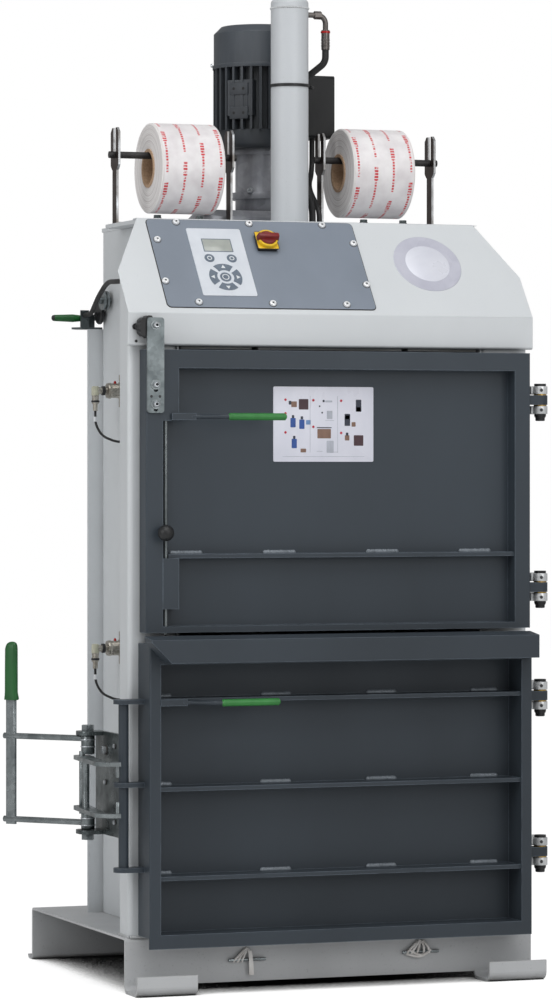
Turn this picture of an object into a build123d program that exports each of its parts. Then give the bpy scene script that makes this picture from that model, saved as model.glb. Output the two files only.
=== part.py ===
from build123d import *
import math
import os

# Vertical recycling baler. Millimetres, +Z up, +Y to the rear, doors at the front.
# While it is built, X 0 is the middle of the machine, Y 0 the front web of the base, Z 0 the floor.

# Common allowances
overrun = 20
seat_gap = 0.3
run_fit = 0.08
door_gap = 2
hatch_gap = 3

# Base channel with bent feet
base_over = 8
base_depth = 618
base_height = 109
base_sheet = 5
base_bend = 9
web_lift = 14
foot_width = 124
foot_reach = 78
foot_lip = 40
foot_bend = 18
rear_tab_reach = 28
rear_foot_width = 236

# Columns and chamber
column_width = 100
column_depth = 63
column_wall = 4
column_round = 10
column_front = 1
chamber_outer_width = 650
chamber_rear = 478
chamber_sheet = 4
chamber_bend = 12
chamber_top = 1515
rear_column_width = 50
rear_column_depth = 60
rear_flange_reach = 30
rear_flange_sheet = 5
rear_column_top = 1311
strap_groove_width = 14
strap_groove_depth = 5
strap_groove_spread = 320
floor_sheet = 9
header_front = 52
header_depth = 50
header_low = 1338
header_height = 60

# Top plate
top_plate_thick = 8
top_plate_front = 142
top_plate_wing = 38
top_plate_wing_end = 345

# Hood and what it carries
hood_over = 6
hood_front = -15
hood_bottom = 1267
hood_fold = 1332
hood_run = 151
hood_sheet = 3
hood_bend = 5
hood_lip = 14
hood_top_flange = 24
hood_corner_cut = 68
hood_corner_start = 83
hood_gap = 4
panel_width = 439
panel_left = -346
panel_low = 14
panel_high = 241
panel_thick = 2
panel_round = 9
keypad_width = 114
keypad_left = -267
keypad_low = 43
keypad_high = 218
keypad_thick = 1.5
keypad_round = 4
screen_width = 60
screen_height = 32
screen_low = 158
screen_depth = 0.7
key_diameter = 19
key_row = 140
key_spread = 47
key_rise = 0.5
ring_outer = 60
ring_inner = 30
ring_low = 91
ring_gap = 6
switch_size = 46
switch_x = -105
switch_up = 183
switch_base_thick = 8
switch_inset = 2
switch_plate_thick = 1.5
switch_knob_diameter = 34
switch_knob_height = 22
switch_grip_width = 11
switch_grip_length = 46
switch_grip_height = 15

# Hydraulic cylinder, rod and platen
cylinder_outer = 77
cylinder_bore = 63
cylinder_bottom = 1340
cylinder_top = 1985
cylinder_cap = 14
cylinder_dome = 9
flange_diameter = 116
flange_thick = 16
gland_length = 30
rod_diameter = 40
piston_length = 34
piston_top_gap = 12
platen_clear = 6
platen_bottom = 1262
platen_sheet = 10
platen_rib_height = 38
platen_rib_thick = 8
platen_rib_spread = 150
platen_boss = 90
platen_lip = 30

# Power pack
tank_left = -144
tank_right = 70
tank_front = 342
tank_rear = 472
tank_bottom = 1345
tank_top = 1560
tank_chamfer = 14
tank_round = 20
motor_y = 420
motor_core = 156
motor_outer = 190
motor_fin_count = 30
motor_fin_thick = 5
motor_low = 1728
motor_high = 1857
motor_flange_low = 1690
motor_flange = 172
motor_flange_round = 10
motor_pad_width = 56
motor_pad_reach = 93
cowl_diameter = 188
cowl_top = 1945
cowl_chamfer = 15
cowl_lip = 8
cowl_lip_rise = 2.5
cowl_slot_count = 12
cowl_slot_width = 6
cowl_slot_depth = 3
cowl_slot_inner = 24
cowl_slot_outer = 70
terminal_depth = 84
terminal_reach = 153
terminal_low = 1716
terminal_high = 1846
terminal_round = 6
bell_flange = 124
bell_flange_thick = 12
bell_body = 98
bell_mid_flange = 116
bell_mid_low = 1586
bell_mid_high = 1600
bell_foot = 98

# Pressure line at the cylinder head and the two supply hoses
port_below = 30
port_nut = 17
port_nut_length = 15
port_pipe = 11
port_elbow_radius = 17
port_reach = 40
port_drop = 30
ferrule_diameter = 17
ferrule_length = 40
hose_diameter = 14
hose_lead = 26
hose_side = 24
hose_back = 42
hose_hold_below = 177
hose_hold_rise = 177
hose_foot_x = 66
hose_foot_rise = 40
cable_diameter = 11
cable_inset = 17
cable_drop = 70
cable_turn_x = 84
cable_turn_y = 352
cable_turn_rise = 88
cable_foot_y = 287
cable_foot_rise = 34

# Strap rolls on their posts
post_out = 21
post_spread_inner = 100
post_y = 323
post_thick = 5
post_width = 26
post_top = 1720
post_head_width = 50
post_head_low = 1634
post_slot_width = 15
post_foot_length = 38
roll_spread = 208
roll_height = 1639
roll_diameter = 184
roll_length = 135
core_outer = 79
core_bore = 67
core_proud = 2
axle_diameter = 14
axle_end = 14

# Hinges
hinge_out = 19.5
hinge_y = -20
hinge_pin = 16
hinge_round = 15
hinge_lug_height = 19
hinge_block_height = 16
hinge_washer = 2.5
hinge_washer_diameter = 26
hinge_cap = 5
hinge_cap_diameter = 24
hinge_block_back = 44
upper_hinge_heights = (1165, 787)
lower_hinge_heights = (568, 253)

# Upper door
upper_left_inset = 21
upper_right_inset = 12
upper_low = 706
upper_high = 1259
upper_front = -43
upper_left_member = 68
upper_left_bar = 35
upper_block_low = 1120
upper_right_member = 34
upper_top_member = 36
upper_low_member = 12
upper_panel = 6
upper_edge_round = 3
upper_rib_height = 855
rib_thick = 8
rib_setback = 6
strip_inset = 1
strip_width = 35
strip_thick = 5
strip_low = 1135
strip_high = 1321
strip_round = 6
strip_slot_heights = (1185, 1147)
strip_slot_width = 9
strip_slot_length = 19
knob_diameter = 44
knob_notch_count = 8
knob_notch = 9
knob_height = 1303
knob_shift = 11
knob_gap = 3
bolt_inset = 43
bolt_diameter = 8
bolt_back = 9
bolt_rest_gap = 3
bolt_reach = 30
bolt_top = 1180
bolt_lift = 50
bolt_guide_height = 14
bolt_guide_wall = 5
bolt_ball = 32
bolt_ball_height = 901
bolt_ball_stand = 30
bolt_ball_side = 9
bolt_stem = 7
cover_low = 752
cover_sheet = 3

# Pull handles: a flat foot, a cranked rod and a grip
handle_diameter = 9
handle_bend = 16
handle_stand = 40
handle_crank = 34
handle_foot_thick = 8
handle_foot_height = 13
handle_end = 8
grip_diameter = 14
grip_length = 121
grip_chamfer = 3
upper_handle_inset = 51
upper_handle_foot = 50
upper_handle_reach = 218
upper_handle_height = 1128
lower_handle_foot = 54
lower_handle_reach = 226
lower_handle_height = 571

# Lower door
lower_left_inset = 19
lower_right_inset = 21
lower_low = 92
lower_high = 697
lower_front = -72
lower_side_member = 23
lower_low_member = 27
lower_plate = 6
lower_base_gap = 4
lower_high_member = 52
lower_corner_drop = 12
lower_panel = 6
lower_rib_heights = (575, 402, 228)
lip_over = 11
lip_under = 4
lip_reach = 46
lip_low = 649
lip_front_high = 695
lip_rear_high = 701
lip_cut = 41
lip_sheet = 4
bar_out = 17.5
bar_y = -20
bar_diameter = 20
lug_heights = (572, 410, 244)
lug_thick = 9
lug_round = 20
lug_back_gap = 7

# Lock at the left column
pivot_out = 32.5
pivot_y = 160
bracket_sheet = 8
bracket_low = 301
bracket_high = 505
bracket_reach = 54
bracket_depth = 50
bracket_front = 14
pivot_bolt = 14
pivot_head = 26
pivot_head_height = 12
sleeve_diameter = 27
sleeve_length = 37
throw = 12
throw_pin = 12
crank_thick = 6
hook_thick = 8
hook_gap = 2
hook_width = 25
hook_eye = 34
hook_back_gap = 4
hook_claw = 25
hook_claw_reach = 8
hook_claw_gap = 1
hook_spacer = 14
hook_spacer_run = 38
hook_stub = 8
hook_stub_length = 22
lever_turn_in = 38
hook_turn_in = 6.5
arm_diameter = 12
arm_length = 180
arm_angle = 130.8
arm_high = 496
arm_low = 329
arm_proud = 5
lever_width = 23
lever_thick = 9
lever_low = 313
lever_high = 665
lever_round = 4
lever_grip_low = 562
lever_grip_high = 679
lever_grip_foot = 32
lever_grip_flare = 9
lever_grip_width = 29
lever_grip_tip = 27
lever_grip_thick = 15

# Door sensors with angled plugs and leads
sensor_y = 336
sensor_heights = (1185, 661)
sensor_plate_height = 66
sensor_plate_depth = 40
sensor_plate_thick = 3
sensor_diameter = 30
sensor_length = 32
sensor_neck = 14
sensor_neck_length = 25
plug_diameter = 14
plug_length = 34
plug_tail = 10
plug_tail_length = 14
lead_diameter = 5

# Release lever with its cable, on the left rear column
release_out = 20
release_y = 502
release_height = 1338
release_base_thick = 4
release_base_width = 44
release_base_tip = 16
release_leg_thick = 4
release_leg_gap = 18
release_leg_width = 16
release_pin = 7
release_lever_thick = 6
release_lever_width = 9
release_lever_length = 70
release_grip_length = 56
release_grip_diameter = 16
release_grip_tip = 13
release_grip_wall = 6
release_cable_diameter = 10
release_horn = 14
release_cable_side = 16
release_cable_end = 66
release_stop_width = 18
release_stop_rise = 6
pulley_diameter = 40
pulley_width = 12
pulley_groove = 5
pulley_y = 418
pulley_height = 1372
pulley_gap = 8
pulley_axle = 14
buffer_diameter = 43
buffer_thick = 9
buffer_stud = 9
buffer_y = 460
buffer_height = 1346
buffer_gap = 6

# Derived places
top_plate_top = chamber_top + top_plate_thick
hood_top = top_plate_top + hood_sheet
hood_slope = math.atan2(hood_top - hood_fold, hood_run)
column_in = chamber_outer_width / 2
column_out = column_in + column_width
base_width = 2 * (column_out + base_over)
hood_width = 2 * (column_out + hood_over)
post_spread_outer = column_in + post_out
hinge_x = column_out + hinge_out
upper_left = upper_left_inset - column_out
upper_right = column_out - upper_right_inset
strip_left = upper_left + strip_inset
bolt_x = upper_left + bolt_inset
upper_handle_start = upper_left + upper_handle_inset
lower_left = lower_left_inset - column_out
lower_right = column_out - lower_right_inset
lip_left = lower_left - lip_over
lip_right = lower_right - lip_under
bar_x = -column_out - bar_out
pivot_x = -column_out - pivot_out
release_x = -column_in - release_out
column_back = column_front + column_depth
inner_half = column_in - chamber_sheet
inner_rear = chamber_rear - chamber_sheet
door_rear = column_front - hatch_gap
chamber_middle = (column_front + inner_rear) / 2
floor_top = base_height + floor_sheet
gland_top = cylinder_bottom + gland_length
port_height = cylinder_top - port_below
piston_top = cylinder_top - cylinder_cap - piston_top_gap
platen_top = platen_bottom + platen_sheet + platen_rib_height
axle_height = roll_height + core_bore / 2 - axle_diameter / 2 - seat_gap
bolt_y = upper_front + bolt_back
cover_high = upper_rib_height - rib_thick / 2
bolt_tip = lower_high + bolt_rest_gap
lip_front = lower_front - lip_reach
sleeve_high_low = bracket_high - bracket_sheet - hook_gap / 2 - sleeve_length
sleeve_low_high = bracket_low + bracket_sheet + hook_gap / 2 + sleeve_length
hook_high_low = sleeve_high_low - hook_gap - hook_thick
hook_low_low = sleeve_low_high + hook_gap
throw_pin_x = pivot_x - throw
throw_pin_y = pivot_y


def block(x0, x1, y0, y1, z0, z1):
    return Pos((x0 + x1) / 2, (y0 + y1) / 2, (z0 + z1) / 2) * Box(x1 - x0, y1 - y0, z1 - z0)


def rod_x(x0, x1, y, z, diameter):
    return Pos((x0 + x1) / 2, y, z) * Rot(0, 90, 0) * Cylinder(diameter / 2, x1 - x0)


def rod_y(x, y0, y1, z, diameter):
    return Pos(x, (y0 + y1) / 2, z) * Rot(90, 0, 0) * Cylinder(diameter / 2, y1 - y0)


def rod_z(x, y, z0, z1, diameter):
    return Pos(x, y, (z0 + z1) / 2) * Cylinder(diameter / 2, z1 - z0)


def side_plane(x, y=0, z=0):
    return Plane(origin=(x, y, z), x_dir=(0, 1, 0), z_dir=(1, 0, 0))


def slope_plane(x, up, lift=0):
    y = hood_front + up * math.cos(hood_slope) - lift * math.sin(hood_slope)
    z = hood_fold + up * math.sin(hood_slope) + lift * math.cos(hood_slope)
    tilt = (0, -math.sin(hood_slope), math.cos(hood_slope))
    return Plane(origin=(x, y, z), x_dir=(1, 0, 0), z_dir=tilt)


def mirrored(shape):
    return mirror(shape, about=Plane.YZ)


def tube_along(points, diameter):
    # A tube along straight runs, each corner rounded as far as its runs allow
    run_share = 0.45
    radii = []
    for before, here, after in zip(points, points[1:], points[2:]):
        run_in = Vector(*here) - Vector(*before)
        run_out = Vector(*after) - Vector(*here)
        half_turn = math.radians(run_in.get_angle(run_out)) / 2
        radii.append(run_share * min(run_in.length, run_out.length) / math.tan(half_turn))
    path = FilletPolyline(*points, radius=radii)
    section = Plane(origin=path @ 0, z_dir=path % 0) * Circle(diameter / 2)
    return sweep(section, path=path)


def under_hood(shape):
    # Cuts a shape off along the underside of the sloping hood
    depth = hood_sheet + hood_gap
    reach = base_depth
    sketch = Rectangle(base_width + base_depth, 2 * reach)
    return shape - extrude(slope_plane(0, 0, -depth) * sketch, amount=reach)


def make_base():
    half = base_width / 2
    outer = block(-half, half, 0, base_depth, 0, base_height)
    outer = fillet(outer.edges().filter_by(Axis.X).group_by(Axis.Z)[-1], base_bend)
    inner = block(-half - overrun, half + overrun, base_sheet, base_depth - base_sheet,
                  -overrun, base_height - base_sheet)
    inner = fillet(inner.edges().filter_by(Axis.X).group_by(Axis.Z)[-1], base_bend - base_sheet)
    base = outer - inner
    base -= block(foot_width - half, half - foot_width, -overrun, base_depth / 2, -overrun, web_lift)
    base -= block(rear_foot_width - half, half - rear_foot_width, base_depth / 2, base_depth + overrun,
                  -overrun, web_lift)
    ring_height = 2 * foot_lip
    ring_depth = foot_reach + base_sheet
    ring = RectangleRounded(ring_depth, ring_height, foot_bend)
    ring -= RectangleRounded(ring_depth - 2 * base_sheet, ring_height - 2 * base_sheet, foot_bend - base_sheet)
    tab_depth = rear_tab_reach + base_sheet
    tab = RectangleRounded(tab_depth, ring_height, base_bend)
    tab -= RectangleRounded(tab_depth - 2 * base_sheet, ring_height - 2 * base_sheet, base_bend - base_sheet)
    for start in (-half, half - foot_width):
        corner = block(start - overrun, start + foot_width + overrun, -overrun, base_sheet + overrun,
                       -overrun, foot_bend)
        base -= corner & block(start, start + foot_width, 0, base_sheet, -overrun, foot_bend)
        foot = extrude(side_plane(start, (base_sheet - foot_reach) / 2, foot_lip) * ring, amount=foot_width)
        foot &= block(start, start + foot_width, -foot_reach, base_sheet, 0, foot_lip)
        base += foot
    for start in (-half, half - rear_foot_width):
        rear = extrude(side_plane(start, base_depth + (rear_tab_reach - base_sheet) / 2, foot_lip) * tab,
                       amount=rear_foot_width)
        keep_low = block(start, start + rear_foot_width, base_depth - base_sheet, base_depth + rear_tab_reach,
                         0, base_bend)
        base -= block(start, start + rear_foot_width, base_depth - base_sheet, base_depth, 0, base_bend)
        base += rear & keep_low
    return base


def make_floor():
    floor = block(-inner_half, inner_half, column_front, inner_rear, base_height, floor_top)
    floor = fillet(floor.edges().filter_by(Axis.Z).group_by(Axis.Y)[-1], chamber_bend)
    for x in (-strap_groove_spread / 2, strap_groove_spread / 2):
        floor -= block(x - strap_groove_width / 2, x + strap_groove_width / 2, column_front - overrun,
                       inner_rear + overrun, floor_top - strap_groove_depth, floor_top + overrun)
    return floor


def make_column():
    profile = RectangleRounded(column_width, column_depth, column_round)
    profile -= RectangleRounded(column_width - 2 * column_wall, column_depth - 2 * column_wall,
                                column_round - column_wall)
    middle = ((column_in + column_out) / 2, (column_front + column_back) / 2)
    column = extrude(Pos(*middle, base_height) * profile, amount=hood_top - base_height)
    return mirrored(under_hood(column))


def make_chamber():
    profile = RectangleRounded(chamber_outer_width, 2 * (chamber_rear - column_front), chamber_bend)
    profile -= RectangleRounded(2 * inner_half, 2 * (inner_rear - column_front), chamber_bend - chamber_sheet)
    walls = extrude(Pos(0, column_front, base_height) * profile, amount=chamber_top - base_height)
    walls &= block(-base_width, base_width, column_front, base_depth, 0, chamber_top)
    return under_hood(walls)


def make_rear_column():
    profile = RectangleRounded(rear_column_width, rear_column_depth, column_round)
    profile -= RectangleRounded(rear_column_width - 2 * column_wall, rear_column_depth - 2 * column_wall,
                                column_round - column_wall)
    x = -column_in + rear_column_width / 2
    place = Pos(x, chamber_rear + rear_column_depth / 2, base_height)
    column = extrude(place * profile, amount=rear_column_top - base_height)
    column += block(-column_in, -column_in + rear_column_width, chamber_rear, chamber_rear + rear_column_depth,
                    rear_column_top, rear_column_top + column_wall)
    return column + block(-column_in - rear_flange_reach, x, chamber_rear, chamber_rear + rear_flange_sheet,
                          base_height, rear_column_top + column_wall)


def make_header():
    beam = block(-inner_half, inner_half, header_front, header_front + header_depth,
                 header_low, header_low + header_height)
    beam -= block(-inner_half - overrun, inner_half + overrun, header_front + column_wall,
                  header_front + header_depth - column_wall, header_low + column_wall,
                  header_low + header_height - column_wall)
    return beam


def make_top_plate():
    wing = column_in + top_plate_wing
    plate = block(-wing, wing, top_plate_front, top_plate_wing_end, chamber_top, top_plate_top)
    plate = fillet(plate.edges().filter_by(Axis.Z), column_round)
    plate += block(-column_in, column_in, top_plate_front, chamber_rear, chamber_top, top_plate_top)
    plate -= rod_z(0, chamber_middle, chamber_top - overrun, top_plate_top + overrun,
                   cylinder_outer + 2 * seat_gap)
    hole = block(tank_left - seat_gap, tank_right + seat_gap, tank_front - seat_gap, tank_rear + seat_gap,
                 chamber_top - overrun, top_plate_top + overrun)
    return plate - fillet(hole.edges().filter_by(Axis.Z), tank_round)


def make_hood():
    half = hood_width / 2
    rear = hood_front + hood_run
    outline = FilletPolyline(
        (hood_front + hood_lip, hood_bottom),
        (hood_front, hood_bottom),
        (hood_front, hood_fold),
        (rear, hood_top),
        (rear + hood_top_flange, hood_top),
        radius=hood_bend,
    )
    inside = offset(outline, amount=-hood_sheet, side=Side.RIGHT, closed=True)
    sheet = extrude(side_plane(-half) * make_face(inside), amount=hood_width)
    start = hood_fold + hood_corner_start
    rise = hood_top - start
    extra = 1 + overrun / rise
    corner = Polygon(
        (-half, start),
        (-half + hood_corner_cut * extra, start + rise * extra),
        (-half - overrun, start + rise * extra),
        (-half - overrun, start),
        align=None,
    )
    front = Plane(origin=(0, base_depth, 0), x_dir=(1, 0, 0), z_dir=(0, -1, 0))
    cutter = extrude(front * corner, amount=base_depth, both=True)
    return sheet - cutter - mirrored(cutter)


def make_panel():
    size = (panel_width, panel_high - panel_low)
    place = slope_plane(panel_left + panel_width / 2, (panel_low + panel_high) / 2)
    return extrude(place * RectangleRounded(*size, panel_round), amount=panel_thick)


def make_keypad():
    middle = keypad_left + keypad_width / 2
    place = slope_plane(middle, (keypad_low + keypad_high) / 2, panel_thick)
    face = RectangleRounded(keypad_width, keypad_high - keypad_low, keypad_round)
    pad = extrude(place * face, amount=keypad_thick)
    window = slope_plane(middle, screen_low + screen_height / 2, panel_thick + keypad_thick)
    pad -= extrude(window * Rectangle(screen_width, screen_height), amount=-screen_depth)
    for x in (middle - key_spread / 2, middle + key_spread / 2):
        key = slope_plane(x, key_row, panel_thick + keypad_thick)
        pad += extrude(key * Circle(key_diameter / 2), amount=key_rise)
    ring = Circle(ring_outer / 2) - Circle(ring_inner / 2)
    for turn in (45, 135):
        ring -= Rot(0, 0, turn) * Rectangle(ring_outer + overrun, ring_gap)
    ring += Circle(key_diameter / 2)
    pad += extrude(slope_plane(middle, ring_low, panel_thick + keypad_thick) * ring, amount=key_rise)
    return pad


def make_switch_base():
    foot = switch_size - 2 * switch_inset
    place = slope_plane(switch_x, switch_up, panel_thick)
    base = extrude(place * RectangleRounded(foot, foot, keypad_round), amount=switch_base_thick)
    place = slope_plane(switch_x, switch_up, panel_thick + switch_base_thick)
    return base + extrude(place * RectangleRounded(switch_size, switch_size, keypad_round),
                          amount=switch_plate_thick)


def make_switch_knob():
    lift = panel_thick + switch_base_thick + switch_plate_thick + seat_gap
    place = slope_plane(switch_x, switch_up, lift)
    knob = extrude(place * Circle(switch_knob_diameter / 2), amount=switch_knob_height)
    knob = chamfer(knob.faces().sort_by(Axis.Z)[-1].edges(), switch_plate_thick)
    top = slope_plane(switch_x, switch_up, lift + switch_knob_height - switch_plate_thick)
    grip = extrude(top * RectangleRounded(switch_grip_length, switch_grip_width, keypad_round),
                   amount=switch_grip_height)
    return knob + grip


def make_cylinder():
    outer = cylinder_outer / 2
    bore = cylinder_bore / 2
    cap_low = cylinder_top - cylinder_cap
    flange_low = chamber_top - flange_thick
    half = Polyline(
        (0, cap_low),
        (bore, cap_low),
        (bore, cylinder_bottom),
        (outer, cylinder_bottom),
        (outer, flange_low),
        (flange_diameter / 2, flange_low),
        (flange_diameter / 2, chamber_top),
        (outer, chamber_top),
        (outer, cylinder_top),
        (0, cylinder_top),
        close=True,
    )
    tube = revolve(Plane.XZ * make_face(half), Axis.Z)
    tube = fillet(tube.faces().sort_by(Axis.Z)[-1].edges(), cylinder_dome)
    return Pos(0, chamber_middle, 0) * tube


def make_gland():
    gland = rod_z(0, chamber_middle, cylinder_bottom, gland_top, cylinder_bore)
    return gland - rod_z(0, chamber_middle, cylinder_bottom - overrun, gland_top + overrun,
                         rod_diameter + 2 * run_fit)


def make_ram():
    rod = rod_z(0, chamber_middle, platen_top, piston_top, rod_diameter)
    piston = rod_z(0, chamber_middle, piston_top - piston_length, piston_top, cylinder_bore - 2 * run_fit)
    return rod + piston


def make_platen():
    half = inner_half - platen_clear
    front = column_front + platen_clear
    rear = inner_rear - platen_clear
    plate = block(-half, half, front, rear, platen_bottom, platen_bottom + platen_sheet)
    rib_low = platen_bottom + platen_sheet
    for x in (-platen_rib_spread, platen_rib_spread):
        plate += block(x - platen_rib_thick / 2, x + platen_rib_thick / 2, front + platen_lip,
                       rear - platen_lip, rib_low, platen_top)
    for y in (chamber_middle - platen_rib_spread / 2, chamber_middle + platen_rib_spread / 2):
        plate += block(platen_lip - half, half - platen_lip, y - platen_rib_thick / 2,
                       y + platen_rib_thick / 2, rib_low, platen_top)
    plate += rod_z(0, chamber_middle, rib_low, platen_top, platen_boss)
    for x in (-strap_groove_spread / 2, strap_groove_spread / 2):
        plate -= block(x - strap_groove_width / 2, x + strap_groove_width / 2, front - overrun,
                       rear + overrun, platen_bottom - overrun, platen_bottom + strap_groove_depth)
    return plate


def make_tank():
    tank = block(tank_left, tank_right, tank_front, tank_rear, tank_bottom, tank_top)
    tank = fillet(tank.edges().filter_by(Axis.Z), tank_round)
    return chamfer(tank.faces().sort_by(Axis.Z)[-1].edges(), tank_chamfer)


def make_bell():
    mid = (bell_mid_low + bell_mid_high) / 2
    top_low = motor_flange_low - bell_flange_thick
    bell = rod_z(0, motor_y, tank_top, bell_mid_low, bell_foot)
    bell += rod_z(0, motor_y, bell_mid_low, bell_mid_high, bell_mid_flange)
    bell += rod_z(0, motor_y, mid, motor_flange_low, bell_body)
    bell += rod_z(0, motor_y, top_low, motor_flange_low, bell_flange)
    return bell


def make_motor():
    core = rod_z(0, motor_y, motor_low, motor_high, motor_core)
    outer = motor_outer / 2
    for index in range(motor_fin_count):
        turn = 360 * index / motor_fin_count
        fin = block(motor_core / 2 - motor_fin_thick, outer, -motor_fin_thick / 2, motor_fin_thick / 2,
                    motor_low, motor_high)
        core += Pos(0, motor_y, 0) * Rot(0, 0, turn) * fin
    for turn in (-135, -45):
        pad = block(0, motor_pad_reach, -motor_pad_width / 2, motor_pad_width / 2,
                    motor_low + motor_pad_width / 2, motor_high - motor_pad_width / 2)
        core += Pos(0, motor_y, 0) * Rot(0, 0, turn) * pad
    shield = rod_z(0, motor_y, motor_flange_low, motor_low, motor_flange)
    shield = fillet(shield.faces().sort_by(Axis.Z)[0].edges(), motor_flange_round)
    return core + shield


def make_cowl():
    cowl = rod_z(0, motor_y, motor_high, cowl_top, cowl_diameter)
    cowl = chamfer(cowl.faces().sort_by(Axis.Z)[-1].edges(), cowl_chamfer)
    cowl += rod_z(0, motor_y, motor_high, motor_high + cowl_lip, cowl_diameter + 2 * cowl_lip_rise)
    for index in range(cowl_slot_count):
        slot = block(cowl_slot_inner, cowl_slot_outer, -cowl_slot_width / 2, cowl_slot_width / 2,
                     cowl_top - cowl_slot_depth, cowl_top + overrun)
        cowl -= Pos(0, motor_y, 0) * Rot(0, 0, 360 * index / cowl_slot_count) * slot
    return cowl


def make_terminal_box():
    start = motor_outer / 2
    box = block(start, terminal_reach, motor_y - terminal_depth / 2, motor_y + terminal_depth / 2,
                terminal_low, terminal_high)
    return fillet(box.edges().filter_by(Axis.X), terminal_round)


def make_fitting():
    x0 = cylinder_outer / 2
    start = x0 - (cylinder_outer - cylinder_bore) / 4
    bend_x = x0 + port_reach
    low = port_height - port_drop
    path = FilletPolyline((start, chamber_middle, port_height), (bend_x, chamber_middle, port_height),
                          (bend_x, chamber_middle, low), radius=port_elbow_radius)
    pipe = sweep(Plane(origin=path @ 0, z_dir=path % 0) * Circle(port_pipe / 2), path=path)
    nut = Pos(x0 + port_nut_length, chamber_middle, port_height) * Rot(0, 90, 0)
    hexagon = extrude(RegularPolygon(port_nut / 2, 6), amount=port_nut_length)
    ferrule = rod_z(bend_x, chamber_middle, low - ferrule_length, low, ferrule_diameter)
    return pipe + nut * hexagon + ferrule


def with_port(cylinder):
    # The threaded end of the elbow sits in its own pocket in the tube wall
    start = cylinder_outer / 2 - (cylinder_outer - cylinder_bore) / 4
    return cylinder - rod_x(start, cylinder_outer, chamber_middle, port_height, port_pipe)


def make_pressure_hose():
    top_x = cylinder_outer / 2 + port_reach
    top_z = port_height - port_drop - ferrule_length
    back = chamber_middle + hose_back
    points = (
        (top_x, chamber_middle, top_z),
        (top_x, chamber_middle, top_z - hose_lead),
        (hose_side, back, cylinder_top - hose_hold_below),
        (hose_side, back, top_plate_top + hose_hold_rise),
        (hose_foot_x, back, top_plate_top + hose_foot_rise),
        (hose_foot_x, back, top_plate_top),
    )
    return tube_along(points, hose_diameter)


def make_motor_cable():
    top_x = motor_outer / 2 + cable_inset
    top_y = motor_y - cable_inset
    points = (
        (top_x, top_y, terminal_low),
        (top_x, top_y, terminal_low - cable_drop),
        (cable_turn_x, cable_turn_y, top_plate_top + cable_turn_rise),
        (cable_turn_x, cable_foot_y, top_plate_top + cable_foot_rise),
        (cable_turn_x, cable_foot_y, top_plate_top),
    )
    return tube_along(points, cable_diameter)


def make_post(x, side):
    low = top_plate_top
    shank = block(x - post_thick / 2, x + post_thick / 2, post_y - post_width / 2, post_y + post_width / 2,
                  low, post_top)
    head = block(x - post_thick / 2, x + post_thick / 2, post_y - post_head_width / 2,
                 post_y + post_head_width / 2, post_head_low, post_top)
    head = chamfer(head.edges().filter_by(Axis.X), (post_head_width - post_width) / 2 - post_thick / 2)
    foot_end = x + side * (post_foot_length - post_thick / 2)
    foot_start = x - side * post_thick / 2
    foot = block(min(foot_start, foot_end), max(foot_start, foot_end), post_y - post_width / 2,
                 post_y + post_width / 2, low, low + post_thick)
    post = shank + head + foot
    slot = block(x - overrun, x + overrun, post_y - post_slot_width / 2, post_y + post_slot_width / 2,
                 axle_height, post_top + overrun)
    slot += rod_x(x - overrun, x + overrun, post_y, axle_height, post_slot_width)
    return post - slot


def make_posts():
    posts = []
    for sign in (-1, 1):
        posts.append(make_post(sign * post_spread_outer, -sign))
        posts.append(make_post(sign * post_spread_inner, sign))
    return Compound(children=posts)


def make_axle(sign):
    ends = sorted((sign * (post_spread_outer + axle_end), sign * (post_spread_inner - axle_end)))
    drop = (post_slot_width - axle_diameter) / 2
    return rod_x(*ends, post_y, axle_height - drop, axle_diameter)


def make_roll(sign):
    x0 = sign * roll_spread - roll_length / 2
    x1 = sign * roll_spread + roll_length / 2
    roll = rod_x(x0, x1, post_y, roll_height, roll_diameter)
    roll = chamfer(roll.edges(), core_proud)
    return roll - rod_x(x0 - overrun, x1 + overrun, post_y, roll_height, core_outer)


def make_core(sign):
    x0 = sign * roll_spread - roll_length / 2 - core_proud
    x1 = sign * roll_spread + roll_length / 2 + core_proud
    core = rod_x(x0, x1, post_y, roll_height, core_outer)
    return core - rod_x(x0 - overrun, x1 + overrun, post_y, roll_height, core_bore)


def hinge_lug(height, door_edge):
    # A lug of the door, rounded about the hinge pin
    plan = Pos(hinge_x, hinge_y) * Circle(hinge_round)
    plan += Pos((hinge_x + door_edge) / 2, hinge_y) * Rectangle(hinge_x - door_edge, 2 * hinge_round)
    plan -= Pos(hinge_x, hinge_y) * Circle(hinge_pin / 2 + run_fit)
    return extrude(Pos(0, 0, height - hinge_lug_height / 2) * plan, amount=hinge_lug_height)


def hinge_heights():
    return upper_hinge_heights + lower_hinge_heights


def make_hinge_blocks():
    blocks = []
    plan = Pos(hinge_x, hinge_y) * Circle(hinge_round)
    width = hinge_x + hinge_round - column_out
    plan += Pos(column_out + width / 2, (hinge_y + hinge_block_back) / 2) * Rectangle(width, hinge_block_back
                                                                                      - hinge_y)
    plan -= Pos(hinge_x, hinge_y) * Circle(hinge_pin / 2)
    stack = hinge_lug_height / 2 + hinge_washer
    for height in hinge_heights():
        blocks.append(extrude(Pos(0, 0, height + stack) * plan, amount=hinge_block_height))
        blocks.append(extrude(Pos(0, 0, height - stack - hinge_block_height) * plan, amount=hinge_block_height))
    return Compound(children=blocks)


def make_hinge_pins():
    pins = []
    reach = hinge_lug_height / 2 + hinge_washer + hinge_block_height
    for height in hinge_heights():
        pin = rod_z(hinge_x, hinge_y, height - reach, height + reach, hinge_pin)
        pin += rod_z(hinge_x, hinge_y, height + reach, height + reach + hinge_cap, hinge_cap_diameter)
        pin += rod_z(hinge_x, hinge_y, height - reach - hinge_cap, height - reach, hinge_cap_diameter)
        pins.append(pin)
    return Compound(children=pins)


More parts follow.
